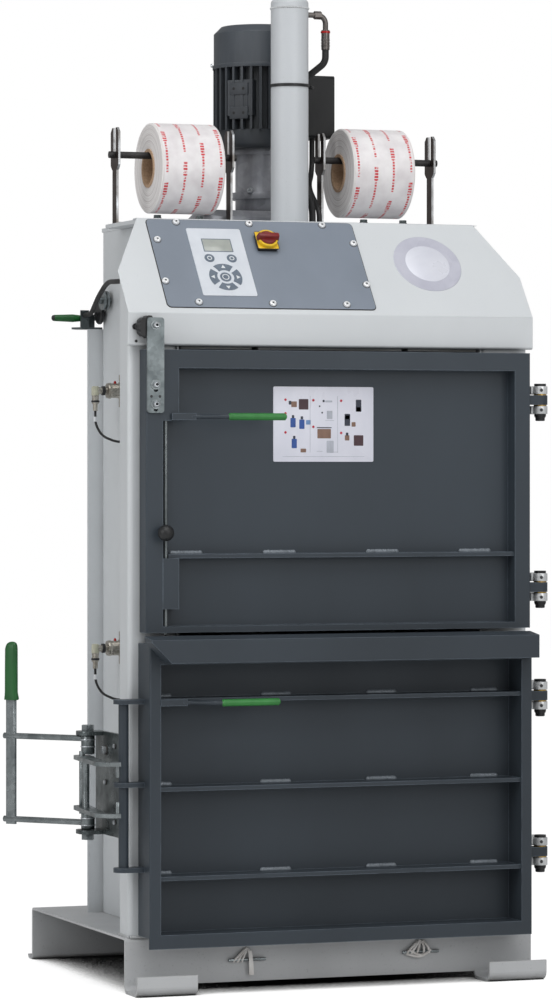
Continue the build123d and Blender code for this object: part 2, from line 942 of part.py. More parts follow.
def make_hinge_washers():
    washers = []
    for height in hinge_heights():
        for low in (height + hinge_lug_height / 2 + run_fit, height - hinge_lug_height / 2 - hinge_washer):
            disc = rod_z(hinge_x, hinge_y, low, low + hinge_washer - run_fit, hinge_washer_diameter)
            washers.append(disc - rod_z(hinge_x, hinge_y, low - overrun, low + overrun, hinge_pin))
    return Compound(children=washers)


def make_upper_door():
    door = block(upper_left, upper_right, upper_front, door_rear, upper_low, upper_high)
    door = fillet(door.edges().filter_by(Axis.Z), upper_edge_round)
    bar_side = upper_left + upper_left_bar
    recess_back = door_rear - upper_panel
    door -= block(upper_left + upper_left_member, upper_right - upper_right_member, upper_front - overrun, recess_back,
                  upper_low + upper_low_member, upper_high - upper_top_member)
    door -= block(bar_side, upper_left + upper_left_member + overrun, upper_front - overrun, recess_back,
                  upper_low + upper_low_member, upper_block_low)
    door += block(bar_side, upper_right - upper_right_member, upper_front + rib_setback, recess_back,
                  upper_rib_height - rib_thick / 2, upper_rib_height + rib_thick / 2)
    for height in upper_hinge_heights:
        door += hinge_lug(height, upper_right)
    guide_half = bolt_diameter / 2 + bolt_guide_wall
    guide_top = cover_high - 2 * cover_sheet
    door += block(bar_side, bolt_x + guide_half, bolt_y - bolt_diameter / 2 - bolt_guide_wall / 4, recess_back,
                  guide_top - bolt_guide_height, guide_top)
    door -= rod_z(bolt_x, bolt_y, guide_top - bolt_guide_height - overrun, guide_top + overrun,
                  bolt_diameter + 2 * run_fit)
    door -= rod_z(bolt_x, bolt_y, upper_block_low - overrun, bolt_top + bolt_lift + door_gap, bolt_diameter + 2 * run_fit)
    clear = bolt_diameter + 2 * door_gap
    door -= rod_z(bolt_x, bolt_y, cover_high - overrun, cover_high + rib_thick + overrun, clear)
    return door - rod_z(bolt_x, bolt_y, upper_low - overrun, upper_low + upper_low_member + overrun, clear)


def make_cover():
    # A box flush with the left member, closed round the bolt's lower guide
    x0 = upper_left + upper_left_bar
    x1 = upper_left + upper_left_member
    back = door_rear - upper_panel
    cover = block(x0, x1, upper_front, back, cover_low, cover_high)
    cover -= block(x0 - overrun, x1 - cover_sheet, upper_front + cover_sheet, back + overrun,
                   cover_low + cover_sheet, cover_high - cover_sheet)
    clear = bolt_diameter + 2 * door_gap
    return cover - rod_z(bolt_x, bolt_y, cover_low - overrun, cover_high + overrun, clear)


def make_strip():
    middle_x = strip_left + strip_width / 2
    middle_z = (strip_low + strip_high) / 2
    front = Plane(origin=(middle_x, upper_front, middle_z), x_dir=(1, 0, 0), z_dir=(0, -1, 0))
    face = RectangleRounded(strip_width, strip_high - strip_low, strip_round)
    for height in strip_slot_heights:
        face -= Pos(0, height - middle_z) * Rot(0, 0, 90) * SlotOverall(strip_slot_length, strip_slot_width)
    return extrude(front * face, amount=strip_thick)


def make_knob():
    x = strip_left + strip_width / 2 - knob_shift
    depth = hood_front - knob_gap - upper_front
    front = Plane(origin=(x, upper_front, knob_height), x_dir=(-1, 0, 0), z_dir=(0, 1, 0))
    face = Circle(knob_diameter / 2)
    for index in range(knob_notch_count):
        turn = 360 * (index + 1 / 2) / knob_notch_count
        face -= Rot(0, 0, turn) * Pos(knob_diameter / 2 + knob_notch / 4, 0) * Circle(knob_notch / 2)
    return extrude(front * face, amount=depth)


def make_drop_bolt():
    bolt = rod_z(bolt_x, bolt_y, bolt_tip, bolt_top, bolt_diameter)
    bolt = chamfer(bolt.faces().sort_by(Axis.Z)[0].edges(), bolt_diameter / 4)
    return bolt + rod_y(bolt_x, bolt_y - bolt_ball_stand, bolt_y, bolt_ball_height, bolt_stem)


def make_bolt_ball():
    ball = Pos(bolt_x - bolt_ball_side, bolt_y - bolt_ball_stand, bolt_ball_height) * Sphere(bolt_ball / 2)
    return ball - rod_y(bolt_x, bolt_y - bolt_ball_stand, bolt_y + overrun, bolt_ball_height, bolt_stem)


def make_handle(start, face, foot, height, reach):
    line = face - handle_stand
    back = face - handle_foot_thick / 2
    bend = start + foot
    plate = block(start, bend, face - handle_foot_thick, face, height - handle_foot_height / 2,
                  height + handle_foot_height / 2)
    path = FilletPolyline((bend - handle_foot_thick, back, height), (bend + handle_foot_thick, back, height),
                          (bend + handle_foot_thick + handle_crank, line, height),
                          (start + reach, line, height), radius=handle_bend)
    return plate + sweep(Plane(origin=path @ 0, z_dir=path % 0) * Circle(handle_diameter / 2), path=path)


def make_grip(start, face, foot, height, reach):
    line = face - handle_stand
    end = start + reach + handle_end
    grip = rod_x(end - grip_length, end, line, height, grip_diameter)
    grip = chamfer(grip.edges(), grip_chamfer)
    return grip - rod_x(end - grip_length - overrun, start + reach, line, height, handle_diameter)


def lug_plan(x, y):
    # Plan of a lug that reaches from the lower door round the lock bar
    front = y - lug_round
    back = column_front - lug_back_gap
    plan = Pos(x, y) * Circle(lug_round)
    plan += Pos((x + lower_left) / 2, (front + back) / 2) * Rectangle(lower_left - x, back - front)
    limit = Pos((x + lower_left) / 2, back - base_depth / 2) * Rectangle(base_depth, base_depth)
    return plan & limit


def make_lower_door():
    door = block(lower_left, lower_right, lower_front, door_rear, base_height + lower_base_gap, lower_high)
    door += block(lower_left, lower_right, lower_front, lower_front + lower_plate, lower_low, lower_high)
    door = fillet(door.edges().filter_by(Axis.Z).group_by(Axis.Y)[0], upper_edge_round)
    inside = (lower_left + lower_side_member, lower_right - lower_side_member)
    door -= block(*inside, lower_front - overrun, door_rear - lower_panel,
                  lower_low + lower_low_member, lower_high - lower_high_member)
    for height in lower_rib_heights:
        door += block(*inside, lower_front + rib_setback, door_rear - lower_panel,
                      height - rib_thick / 2, height + rib_thick / 2)
    for x0, x1 in ((lower_left - overrun, inside[0]), (inside[1], lower_right + overrun)):
        door -= block(x0, x1, lower_front - overrun, door_rear + overrun,
                      lower_high - lower_corner_drop, lower_high + overrun)
    for height in lower_hinge_heights:
        door += hinge_lug(height, lower_right)
    for height in lug_heights:
        lug = extrude(Pos(0, 0, height - lug_thick / 2) * lug_plan(bar_x, bar_y), amount=lug_thick)
        door += lug - rod_z(bar_x, bar_y, height - overrun, height + overrun, bar_diameter)
    hole = bolt_diameter + 2 * door_gap
    return door - rod_z(bolt_x, bolt_y, lower_high - bolt_reach, lower_high + overrun, hole)


def make_lock_bar():
    return rod_z(bar_x, bar_y, lug_heights[-1] - lug_thick / 2, lug_heights[0] + lug_thick / 2, bar_diameter)


def make_lip():
    outer = Polyline((lower_front, lip_low), (lower_front, lip_rear_high), (lip_front, lip_front_high),
                     (lip_front, lip_low), close=True)
    length = lip_right - lip_left
    beam = extrude(side_plane(lip_left) * make_face(outer), amount=length)
    inner = Polyline((lower_front + overrun, lip_low - overrun), (lower_front + overrun, lip_rear_high),
                     (lower_front, lip_rear_high - lip_sheet), (lip_front + lip_sheet, lip_front_high - lip_sheet),
                     (lip_front + lip_sheet, lip_low - overrun), close=True)
    hollow = extrude(side_plane(lip_left + lip_sheet) * make_face(inner), amount=length - 2 * lip_sheet)
    hollow = hollow & block(lip_left, lip_right, lip_front, lower_front, lip_low - overrun, lip_rear_high)
    return lip_ends(beam, 0) - lip_ends(hollow, lip_sheet)


def lip_ends(shape, inset):
    # The ends of the lip are cut off at 45 degrees underneath
    drop = inset * math.sqrt(2)
    front = Plane(origin=(0, 0, 0), x_dir=(1, 0, 0), z_dir=(0, -1, 0))
    for edge, sign in ((lip_left + inset, 1), (lip_right - inset, -1)):
        start = edge - sign * overrun
        corner = Polygon(
            (start, lip_low + lip_cut + overrun + drop - inset),
            (start, lip_low - 2 * overrun),
            (edge + sign * (lip_cut + 2 * overrun + drop - inset), lip_low - 2 * overrun),
            align=None,
        )
        shape -= Pos(0, base_depth / 2, 0) * extrude(front * corner, amount=base_depth)
    return shape


def make_bracket():
    back = -column_out
    tip = back - bracket_reach
    y0 = pivot_y - bracket_depth / 2
    y1 = pivot_y + bracket_depth / 2
    ears = block(tip, back, y0, y1, bracket_low, bracket_high)
    ears = fillet(ears.edges().filter_by(Axis.Z).group_by(Axis.X)[0], bracket_depth / 3)
    ears -= block(tip - overrun, back - bracket_sheet, y0 - overrun, y1 + overrun,
                  bracket_low + bracket_sheet, bracket_high - bracket_sheet)
    plate = block(back - bracket_sheet, back, bracket_front, y1, bracket_low, bracket_high)
    bracket = ears + fillet(plate.edges().filter_by(Axis.X).group_by(Axis.Y)[0], bracket_sheet)
    return bracket - rod_z(pivot_x, pivot_y, bracket_low - overrun, bracket_high + overrun, pivot_bolt)


def make_pivot_bolts():
    head = RegularPolygon(pivot_head / 2, 6)
    high = rod_z(pivot_x, pivot_y, sleeve_high_low + crank_thick + seat_gap, bracket_high, pivot_bolt)
    high += extrude(Pos(pivot_x, pivot_y, bracket_high) * head, amount=pivot_head_height)
    low = rod_z(pivot_x, pivot_y, bracket_low, sleeve_low_high - crank_thick - seat_gap, pivot_bolt)
    low += extrude(Pos(pivot_x, pivot_y, bracket_low - pivot_head_height) * head, amount=pivot_head_height)
    return Compound(children=[high, low])


def make_lever():
    direction = Vector(math.cos(math.radians(arm_angle)), math.sin(math.radians(arm_angle)), 0)
    end_x = pivot_x + arm_length * direction.X
    end_y = pivot_y + arm_length * direction.Y
    high = sleeve_high_low + sleeve_length
    low = sleeve_low_high - sleeve_length
    lever = rod_z(pivot_x, pivot_y, sleeve_high_low, high, sleeve_diameter)
    lever += rod_z(pivot_x, pivot_y, low, sleeve_low_high, sleeve_diameter)
    lever += rod_z(throw_pin_x, throw_pin_y, sleeve_low_high - crank_thick, sleeve_high_low + crank_thick, throw_pin)
    reach = arm_length + lever_width / 2 + arm_proud
    for height in (arm_high, arm_low):
        arm = Pos(pivot_x, pivot_y, height - arm_diameter / 2) * Rot(0, 0, arm_angle)
        lever += arm * Pos(reach / 2, 0, 0) * Rot(0, 90, 0) * Cylinder(arm_diameter / 2, reach)
    handle = Pos(end_x, end_y, (lever_low + lever_high) / 2) * Rot(0, 0, arm_angle)
    flat = Box(lever_width, lever_thick, lever_high - lever_low)
    lever += handle * fillet(flat.edges().filter_by(Axis.Z), lever_round)
    bore_high = sleeve_high_low + crank_thick
    bore_low = sleeve_low_high - crank_thick
    lever -= rod_z(pivot_x, pivot_y, bore_high, high + overrun, pivot_bolt + 2 * run_fit)
    return lever - rod_z(pivot_x, pivot_y, low - overrun, bore_low, pivot_bolt + 2 * run_fit)


def make_lever_grip():
    angle = math.radians(arm_angle)
    place = Pos(pivot_x + arm_length * math.cos(angle), pivot_y + arm_length * math.sin(angle), lever_grip_low)
    place = place * Rot(0, 0, arm_angle)
    height = lever_grip_high - lever_grip_low
    sections = []
    for rise, width in ((0, lever_grip_foot), (lever_grip_flare, lever_grip_width), (height, lever_grip_tip)):
        sections.append(Pos(0, 0, rise) * RectangleRounded(width, lever_grip_thick, lever_grip_thick / 3))
    grip = loft(sections, ruled=True)
    grip = chamfer(grip.faces().sort_by(Axis.Z)[-1].edges(), lever_round)
    inner = RectangleRounded(lever_width, lever_thick, lever_round)
    return place * (grip - extrude(inner, amount=lever_high - lever_grip_low))


def hook_plan():
    # Plan of one hook as it lies when it holds the bar, seen from the throw pin
    swing = math.radians(-lever_turn_in)
    pin_x = pivot_x - throw * math.cos(swing)
    pin_y = pivot_y - throw * math.sin(swing)
    inner = bar_x - bar_diameter / 2 - hook_back_gap - pin_x
    outer = inner - hook_width
    claw_back = bar_y - bar_diameter / 2 - hook_claw_gap - pin_y
    claw_front = claw_back - hook_claw
    tip = bar_x + hook_claw_reach - pin_x
    plan = Circle(hook_eye / 2)
    plan += Polygon(
        (-hook_eye / 2, 0),
        (outer, claw_back),
        (inner, claw_front),
        (tip, claw_front),
        (tip, claw_back),
        (inner, claw_back),
        (inner, claw_back + hook_claw),
        (hook_eye / 2, 0),
        align=None,
    )
    plan -= Circle(throw_pin / 2 + run_fit)
    return plan, (tip - hook_stub / 2, (claw_front + claw_back) / 2)


def make_hook():
    plan, stub = hook_plan()
    hook = None
    for low in (hook_high_low, hook_low_low):
        plate = extrude(Pos(0, 0, low) * plan, amount=hook_thick)
        hook = plate if hook is None else hook + plate
    inner_low = hook_low_low + hook_thick
    hook += rod_z(0, -hook_spacer_run, inner_low, hook_high_low, hook_spacer)
    hook += rod_z(*stub, hook_high_low - hook_stub_length, hook_high_low, hook_stub)
    hook += rod_z(*stub, inner_low, inner_low + hook_stub_length, hook_stub)
    return Pos(throw_pin_x, throw_pin_y, 0) * Rot(0, 0, -hook_turn_in) * hook


def make_sensor(height):
    side = -column_in
    plate = block(side - sensor_plate_thick, side, sensor_y - sensor_plate_depth / 2,
                  sensor_y + sensor_plate_depth / 2, height - sensor_plate_height / 2,
                  height + sensor_plate_height / 2)
    face = side - sensor_plate_thick
    end = face - sensor_length
    tip = end - sensor_neck_length
    sensor = plate + rod_x(end, face, sensor_y, height, sensor_diameter)
    sensor += rod_x(tip, end, sensor_y, height, sensor_neck)
    low = height - plug_length + plug_diameter / 2
    sensor += rod_z(tip, sensor_y, low, height + plug_diameter / 2, plug_diameter)
    return sensor + rod_z(tip, sensor_y, low - plug_tail_length, low, plug_tail)


def lead_start(height):
    x = -column_in - sensor_plate_thick - sensor_length - sensor_neck_length
    z = height - plug_length + plug_diameter / 2 - plug_tail_length
    return x, sensor_y, z


lead_route_shares = ((0, 0, 0), (0, 0, -0.45), (0.20, -0.10, -0.85), (0.60, -0.40, -1.05), (1, -0.40, -1.05))


def make_leads():
    leads = []
    for height in sensor_heights:
        x, y, z = lead_start(height)
        run = -column_in - x
        points = [(x + sx * run, y + sy * run, z + sz * run) for sx, sy, sz in lead_route_shares]
        leads.append(tube_along(points, lead_diameter))
    return Compound(children=leads)


def make_release_base():
    low = rear_column_top + column_wall
    half = release_base_width / 2
    plate = Polygon(
        (release_x + half, release_y - half),
        (release_x + half, release_y + half),
        (release_x - half, release_y + half),
        (release_x - half - release_base_tip, release_y),
        (release_x - half, release_y - half),
        align=None,
    )
    base = extrude(Pos(0, 0, low) * plate, amount=release_base_thick)
    leg_low = low + release_base_thick
    leg_high = release_height + release_leg_width / 2
    for sign in (-1, 1):
        inner = release_y + sign * release_leg_gap / 2
        outer = inner + sign * release_leg_thick
        base += block(release_x - release_leg_width / 2, release_x + release_leg_width / 2,
                      min(inner, outer), max(inner, outer), leg_low, leg_high)
    stop_back = release_y - half + release_leg_thick
    stop_x = release_x - release_cable_side
    base += block(stop_x - release_stop_width / 2, stop_x + release_stop_width / 2, release_y - half,
                  stop_back, leg_low, release_height + release_cable_diameter + release_stop_rise)
    reach = release_leg_gap / 2 + release_leg_thick
    return base + rod_y(release_x, release_y - reach, release_y + reach, release_height, release_pin)


def make_release_lever():
    half = release_lever_thick / 2
    end = release_x - release_lever_length
    low = release_height - release_lever_width / 2
    high = release_height + release_lever_width / 2
    lever = block(end, release_x, release_y - half, release_y + half, low, high)
    lever += rod_y(release_x, release_y - half, release_y + half, release_height, release_lever_width + release_pin)
    lever += block(release_x, release_x + release_horn, release_y - half, release_y + half, low, high)
    return lever - rod_y(release_x, release_y - overrun, release_y + overrun, release_height,
                         release_pin + 2 * run_fit)


def make_release_grip():
    end = release_x - release_lever_length - release_grip_wall
    start = end + release_grip_length
    outline = Polyline(
        (end, 0),
        (end, release_grip_tip / 2),
        (start - release_grip_diameter, release_grip_diameter / 2),
        (start, release_grip_tip / 2),
        (start, 0),
        close=True,
    )
    grip = revolve(Plane.XY * make_face(outline), Axis.X)
    half = release_lever_thick / 2
    grip = Pos(0, release_y, release_height) * grip
    return grip - block(end + release_grip_wall, release_x, release_y - half, release_y + half,
                        release_height - release_lever_width / 2, release_height + release_lever_width / 2)


def make_pulley():
    back = -column_in - pulley_gap
    front = back - pulley_width
    wheel = rod_x(front, back, pulley_y, pulley_height, pulley_diameter)
    groove = rod_x(front + pulley_width / 3, back - pulley_width / 3, pulley_y, pulley_height,
                   pulley_diameter + overrun)
    groove -= rod_x(front, back, pulley_y, pulley_height, pulley_diameter - 2 * pulley_groove)
    wheel -= groove
    wheel += rod_x(front - pulley_gap, -column_in, pulley_y, pulley_height, pulley_axle)
    return wheel


def make_buffer():
    back = -column_in - buffer_gap
    disc = rod_x(back - buffer_thick, back, buffer_y, buffer_height, buffer_diameter)
    disc = chamfer(disc.edges(), buffer_thick / 4)
    return disc + rod_x(back - buffer_thick - buffer_gap, -column_in, buffer_y, buffer_height, buffer_stud)


cable_rise_shares = ((0, 0, 0), (0, 0.10, 0), (0.12, 0.25, 0.60), (0.50, 0.52, 1.10), (1, 0.84, 1), (1, 1, 1))


def make_cable():
    start = Vector(release_x - release_cable_side, release_y - release_base_width / 2,
                   release_height + release_stop_rise)
    end = Vector(-column_out + 2 * column_round, column_back, hood_fold + release_cable_end)
    points = []
    for sx, sy, sz in cable_rise_shares:
        points.append((start.X + sx * (end.X - start.X), start.Y + sy * (end.Y - start.Y),
                       start.Z + sz * (end.Z - start.Z)))
    return tube_along(points, release_cable_diameter)


def build():
    left_column = make_column()
    cylinder = with_port(make_cylinder())
    rear_left = make_rear_column()
    upper_handle = (upper_handle_start, upper_front, upper_handle_foot, upper_handle_height, upper_handle_reach)
    lower_handle = (lower_left + lower_side_member, lower_front + rib_setback, lower_handle_foot,
                    lower_handle_height, lower_handle_reach)
    return {
        "base": make_base(),
        "chamber_floor": make_floor(),
        "left_column": left_column,
        "right_column": mirrored(left_column),
        "chamber_walls": make_chamber(),
        "rear_columns": Compound(children=[rear_left, mirrored(rear_left)]),
        "header_beam": make_header(),
        "top_plate": make_top_plate(),
        "hood": make_hood(),
        "control_panel": make_panel(),
        "keypad": make_keypad(),
        "switch_base": make_switch_base(),
        "switch_knob": make_switch_knob(),
        "cylinder": cylinder,
        "rod_gland": make_gland(),
        "piston_rod": make_ram(),
        "platen": make_platen(),
        "oil_tank": make_tank(),
        "pump_housing": make_bell(),
        "motor": make_motor(),
        "motor_cowl": make_cowl(),
        "terminal_box": make_terminal_box(),
        "hose_fitting": make_fitting(),
        "pressure_hose": make_pressure_hose(),
        "motor_cable": make_motor_cable(),
        "roll_posts": make_posts(),
        "roll_axles": Compound(children=[make_axle(-1), make_axle(1)]),
        "tape_roll_left": make_roll(-1),
        "tape_roll_right": make_roll(1),
        "roll_core_left": make_core(-1),
        "roll_core_right": make_core(1),
        "upper_door": make_upper_door(),
        "latch_strip": make_strip(),
        "latch_knob": make_knob(),
        "drop_bolt": make_drop_bolt(),
        "bolt_ball": make_bolt_ball(),
        "bolt_cover": make_cover(),
        "upper_handle": make_handle(*upper_handle),
        "upper_grip": make_grip(*upper_handle),
        "lower_door": make_lower_door(),
        "loading_lip": make_lip(),
        "lower_handle": make_handle(*lower_handle),
        "lower_grip": make_grip(*lower_handle),
        "lock_bar": make_lock_bar(),
        "hinge_blocks": make_hinge_blocks(),
        "hinge_pins": make_hinge_pins(),
        "hinge_washers": make_hinge_washers(),
        "lock_bracket": make_bracket(),
        "pivot_bolts": make_pivot_bolts(),
        "lock_lever": make_lever(),
        "lever_grip": make_lever_grip(),
        "lock_hook": make_hook(),
        "door_sensors": Compound(children=[make_sensor(height) for height in sensor_heights]),
        "sensor_leads": make_leads(),
        "release_base": make_release_base(),
        "release_lever": make_release_lever(),
        "release_grip": make_release_grip(),
        "release_cable": make_cable(),
        "cable_pulley": make_pulley(),
        "rubber_buffer": make_buffer(),
    }


pieces = build()
low = Vector(*[min(getattr(p.bounding_box().min, axis) for p in pieces.values()) for axis in "XYZ"])
high = Vector(*[max(getattr(p.bounding_box().max, axis) for p in pieces.values()) for axis in "XYZ"])
shift = Vector(-(low.X + high.X) / 2, -(low.Y + high.Y) / 2, -low.Z)

os.makedirs("parts", exist_ok=True)
for name, piece in pieces.items():
    export_step(Pos(shift) * piece, "parts/" + name + ".step")
print("pieces", len(pieces), "box", high - low, "shift", shift)
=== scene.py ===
import math
import random

import bmesh
import bpy
from mathutils import Matrix, Vector


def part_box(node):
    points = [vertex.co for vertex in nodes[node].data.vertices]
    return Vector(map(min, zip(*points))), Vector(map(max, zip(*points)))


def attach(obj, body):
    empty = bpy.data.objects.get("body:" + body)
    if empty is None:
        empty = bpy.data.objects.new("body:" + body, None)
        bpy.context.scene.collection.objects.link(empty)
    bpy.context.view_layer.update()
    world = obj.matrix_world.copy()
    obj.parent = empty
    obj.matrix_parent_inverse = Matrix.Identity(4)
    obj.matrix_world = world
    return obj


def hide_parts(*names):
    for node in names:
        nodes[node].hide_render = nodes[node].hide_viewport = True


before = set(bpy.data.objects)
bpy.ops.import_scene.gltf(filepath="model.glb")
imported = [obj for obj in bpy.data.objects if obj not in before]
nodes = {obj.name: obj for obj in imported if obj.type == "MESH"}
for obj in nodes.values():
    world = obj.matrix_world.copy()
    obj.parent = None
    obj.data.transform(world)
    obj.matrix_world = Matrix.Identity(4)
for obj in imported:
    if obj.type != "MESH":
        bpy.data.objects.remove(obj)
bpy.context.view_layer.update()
shopScene = bpy.context.scene
shopScene.view_settings.view_transform = "Standard"
rand = random.Random(11)
print("frame loaded:", len(nodes), "nodes")

# places are in millimetres from the machine's middle, the front web of its base and the floor
webSetback = 0.078
baseLow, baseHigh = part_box("base")
middle = Vector(((baseLow.x + baseHigh.x) / 2, baseLow.y + webSetback, 0))
hoodFold = {"y": -15, "z": 1332, "run": 151, "rise": 194}
slope = math.atan2(hoodFold["rise"], hoodFold["run"])
frontWay, leftWay, upWay = (0, -1, 0), (-1, 0, 0), (0, 0, 1)


def mm(x, y, z):
    return middle + Vector((x, y, z)) / 1000


def upright(x, y, z):
    return Matrix.Translation(mm(x, y, z))


def facing(x, y, z, way):  # local Z looks along way, local Y stays up
    zAxis = Vector(way).normalized()
    yAxis = Vector((0, 1, 0)) if abs(zAxis.z) > 0.9 else Vector((0, 0, 1))
    xAxis = yAxis.cross(zAxis).normalized()
    yAxis = zAxis.cross(xAxis)
    turn = Matrix((xAxis, yAxis, zAxis)).transposed().to_4x4()
    return upright(x, y, z) @ turn


def onSlope(x, up, lift=0.0):  # on the tilted face of the hood
    y = hoodFold["y"] + up * math.cos(slope) - lift * math.sin(slope)
    z = hoodFold["z"] + up * math.sin(slope) + lift * math.cos(slope)
    return upright(x, y, z) @ Matrix.Rotation(slope, 4, "X")


def shifted(place, x=0.0, y=0.0, z=0.0):  # moved along its own axes
    return place @ Matrix.Translation(Vector((x, y, z)) / 1000)


def spun(place, degrees):  # turned about its own Z axis
    return place @ Matrix.Rotation(math.radians(degrees), 4, "Z")


def outward(degrees):
    return Vector((math.cos(math.radians(degrees)), math.sin(math.radians(degrees)), 0))


def newObject(name, data):
    made = bpy.data.objects.new(name, data)
    shopScene.collection.objects.link(made)
    return made


def newMesh(name, shape):
    mesh = bpy.data.meshes.new(name)
    shape.to_mesh(mesh)
    shape.free()
    return mesh


# camera at the photograph's viewing angle
viewpoint = {"place": (-3018.045, -7799.237, 1023.678), "turn": -0.356, "lens": 100.824, "shift": -0.03}
cameraData = bpy.data.cameras.new("camera")
cameraData.sensor_fit = "VERTICAL"
cameraData.sensor_height = 24
cameraData.lens = viewpoint["lens"]
cameraData.shift_y = viewpoint["shift"]
cameraData.clip_end = 100
camera = newObject("camera", cameraData)
camera.location = mm(*viewpoint["place"])
camera.rotation_euler = (math.pi / 2, 0, viewpoint["turn"])
shopScene.camera = camera

# floor, lamps and white surroundings
studio = {
    "floor": 14,
    "world": 0.38,
    "glow": 1.18,
    "glowShare": 0.80,  # the rest keeps the lamps' shadow
    "matte": (0.86, 0.86, 0.86, 1),
    "matteUnder": (0.1, 0.1, 0.1, 1),  # painted shade: floor colour in the gap below the machine
    "shadeReach": 0.35,
    "lamps": [
        ("overhead", (-0.6, -2.2, 4.6), (0.0, 0.0, 0.9), 3.6, 92),
        ("front", (1.6, -6.0, 2.8), (0.0, 0.0, 1.0), 3.0, 60),
        ("left", (-5.0, -1.8, 2.4), (0.0, 0.0, 1.0), 2.6, 50),
    ],
}
for label, place, target, size, power in studio["lamps"]:
    lampData = bpy.data.lights.new(label, "AREA")
    lampData.size = size
    lampData.energy = power
    lamp = newObject(label, lampData)
    lamp.location = place
    lamp.rotation_euler = (Vector(target) - Vector(place)).to_track_quat("-Z", "Y").to_euler()


def newNode(tree, kind, inputs=None, **settings):
    made = tree.nodes.new("ShaderNode" + kind)
    for key, value in settings.items():
        setattr(made, key, value)
    for key, value in (inputs or {}).items():
        if isinstance(value, bpy.types.NodeSocket):
            tree.links.new(value, made.inputs[key])
        else:
            made.inputs[key].default_value = value
    return made


def calc(tree, operation, first, second=0.0):
    return newNode(tree, "Math", {0: first, 1: second}, operation=operation).outputs[0]


def product(tree, first, *others):
    for other in others:
        first = calc(tree, "MULTIPLY", first, other)
    return first


def ramp(tree, value, low, high, bottom=0.0, top=1.0):
    inputs = {"Value": value, "From Min": low, "From Max": high, "To Min": bottom, "To Max": top}
    return newNode(tree, "MapRange", inputs).outputs[0]


def between(tree, value, start, full, fade, end):  # 1 from full to fade, 0 outside start and end
    return product(tree, ramp(tree, value, start, full), ramp(tree, value, end, fade))


def mixed(tree, share, first, second):
    return newNode(tree, "Mix", {0: share, 6: first, 7: second}, data_type="RGBA").outputs[2]


def noise(tree, spot, scale, detail):
    return newNode(tree, "TexNoise", {"Vector": spot, "Scale": scale, "Detail": detail}).outputs[0]


def objectSpot(tree):
    return newNode(tree, "TexCoord").outputs["Object"]


def tint(red, green, blue):  # screen colour to Blender's linear colour
    return tuple(((c / 255 + 0.055) / 1.055) ** 2.4 for c in (red, green, blue)) + (1.0,)


def openness(tree, reach, samples):  # 1 in the open, less in corners
    return newNode(tree, "AmbientOcclusion", {"Distance": reach}, samples=samples).outputs["AO"]


def cameraSees(tree):
    rays = newNode(tree, "LightPath").outputs
    return calc(tree, "MAXIMUM", rays["Is Camera Ray"], rays["Is Transmission Ray"])


world = bpy.data.worlds.new("surroundings")
shopScene.world = world
world.use_nodes = True
worldTree = world.node_tree
sky = worldTree.nodes["Background"]
sky.inputs["Color"].default_value = (1, 1, 1, 1)
skyStrength = ramp(worldTree, cameraSees(worldTree), 0, 1, studio["world"], 1.0)
worldTree.links.new(skyStrength, sky.inputs["Strength"])

floorMaterial = bpy.data.materials.new("paleFloor")
floorMaterial.use_nodes = True
floorTree = floorMaterial.node_tree
# painted shade: the floor's colour and glow darken where the machine hides it from the open, under and round
# the machine
openFloor = openness(floorTree, studio["shadeReach"], 8)
matteColour = mixed(floorTree, ramp(floorTree, openFloor, 0.2, 0.5), studio["matteUnder"], studio["matte"])
matte = newNode(floorTree, "BsdfDiffuse", {"Color": matteColour})
glowStrength = ramp(floorTree, openFloor, 0.27, 0.5, 0.0, studio["glow"])
glow = newNode(floorTree, "Emission", {"Color": (1, 1, 1, 1), "Strength": glowStrength})
glowShare = product(floorTree, cameraSees(floorTree), studio["glowShare"])
floorMix = newNode(floorTree, "MixShader", {0: glowShare, 1: matte.outputs[0], 2: glow.outputs[0]})
floorTree.links.new(floorMix.outputs[0], floorTree.nodes["Material Output"].inputs["Surface"])
floorShape = bmesh.new()
bmesh.ops.create_grid(floorShape, x_segments=2, y_segments=2, size=studio["floor"])
floorMesh = newMesh("floor", floorShape)
floorMesh.materials.append(floorMaterial)
floor = newObject("floor", floorMesh)
print("camera, lamps and floor set")


# shared surface effects
def newGroup(name, inputs, outputs):
    group = bpy.data.node_groups.new(name, "ShaderNodeTree")
    for label, kind, value in inputs:
        socket = group.interface.new_socket(name=label, in_out="INPUT", socket_type="NodeSocket" + kind)
        socket.default_value = value
    for label, kind in outputs:
        group.interface.new_socket(name=label, in_out="OUTPUT", socket_type="NodeSocket" + kind)
    return group, group.nodes.new("NodeGroupInput").outputs, group.nodes.new("NodeGroupOutput")


def putOut(group, leave, results):
    for label, value in results.items():
        group.links.new(value, leave.inputs[label])
    return group


def makeCoatFilm():  # sprayed or moulded skin: slow drift of tone, fine specks, orange-peel grain
    group, entry, leave = newGroup(
        "coatFilm",
        [("Colour", "Color", (0.5, 0.5, 0.5, 1)), ("Shade", "Color", (0.4, 0.4, 0.4, 1)),
         ("Rough", "Float", 0.4), ("Grain", "Float", 900.0), ("Drift", "Float", 4.0),
         ("Specks", "Float", 0.15)],
        [("Colour", "Color"), ("Roughness", "Float"), ("Height", "Float")],
    )
    spot = objectSpot(group)
    tall = newNode(group, "Mapping", {"Vector": spot, "Scale": (1.0, 1.0, 0.45)}).outputs[0]
    drift = noise(group, tall, entry["Drift"], 5.0)
    grain = noise(group, spot, entry["Grain"], 2.0)
    dots = noise(group, spot, 240.0, 3.0)
    colour = mixed(group, ramp(group, drift, 0.34, 0.68), entry["Colour"], entry["Shade"])
    dotShare = product(group, ramp(group, dots, 0.64, 0.74), entry["Specks"])
    colour = mixed(group, dotShare, colour, (0.05, 0.048, 0.045, 1))
    rough = calc(group, "ADD", entry["Rough"], ramp(group, drift, 0.3, 0.7, -0.06, 0.08))
    rough = calc(group, "ADD", rough, product(group, dotShare, 0.3))
    return putOut(group, leave, {"Colour": colour, "Roughness": rough, "Height": grain})


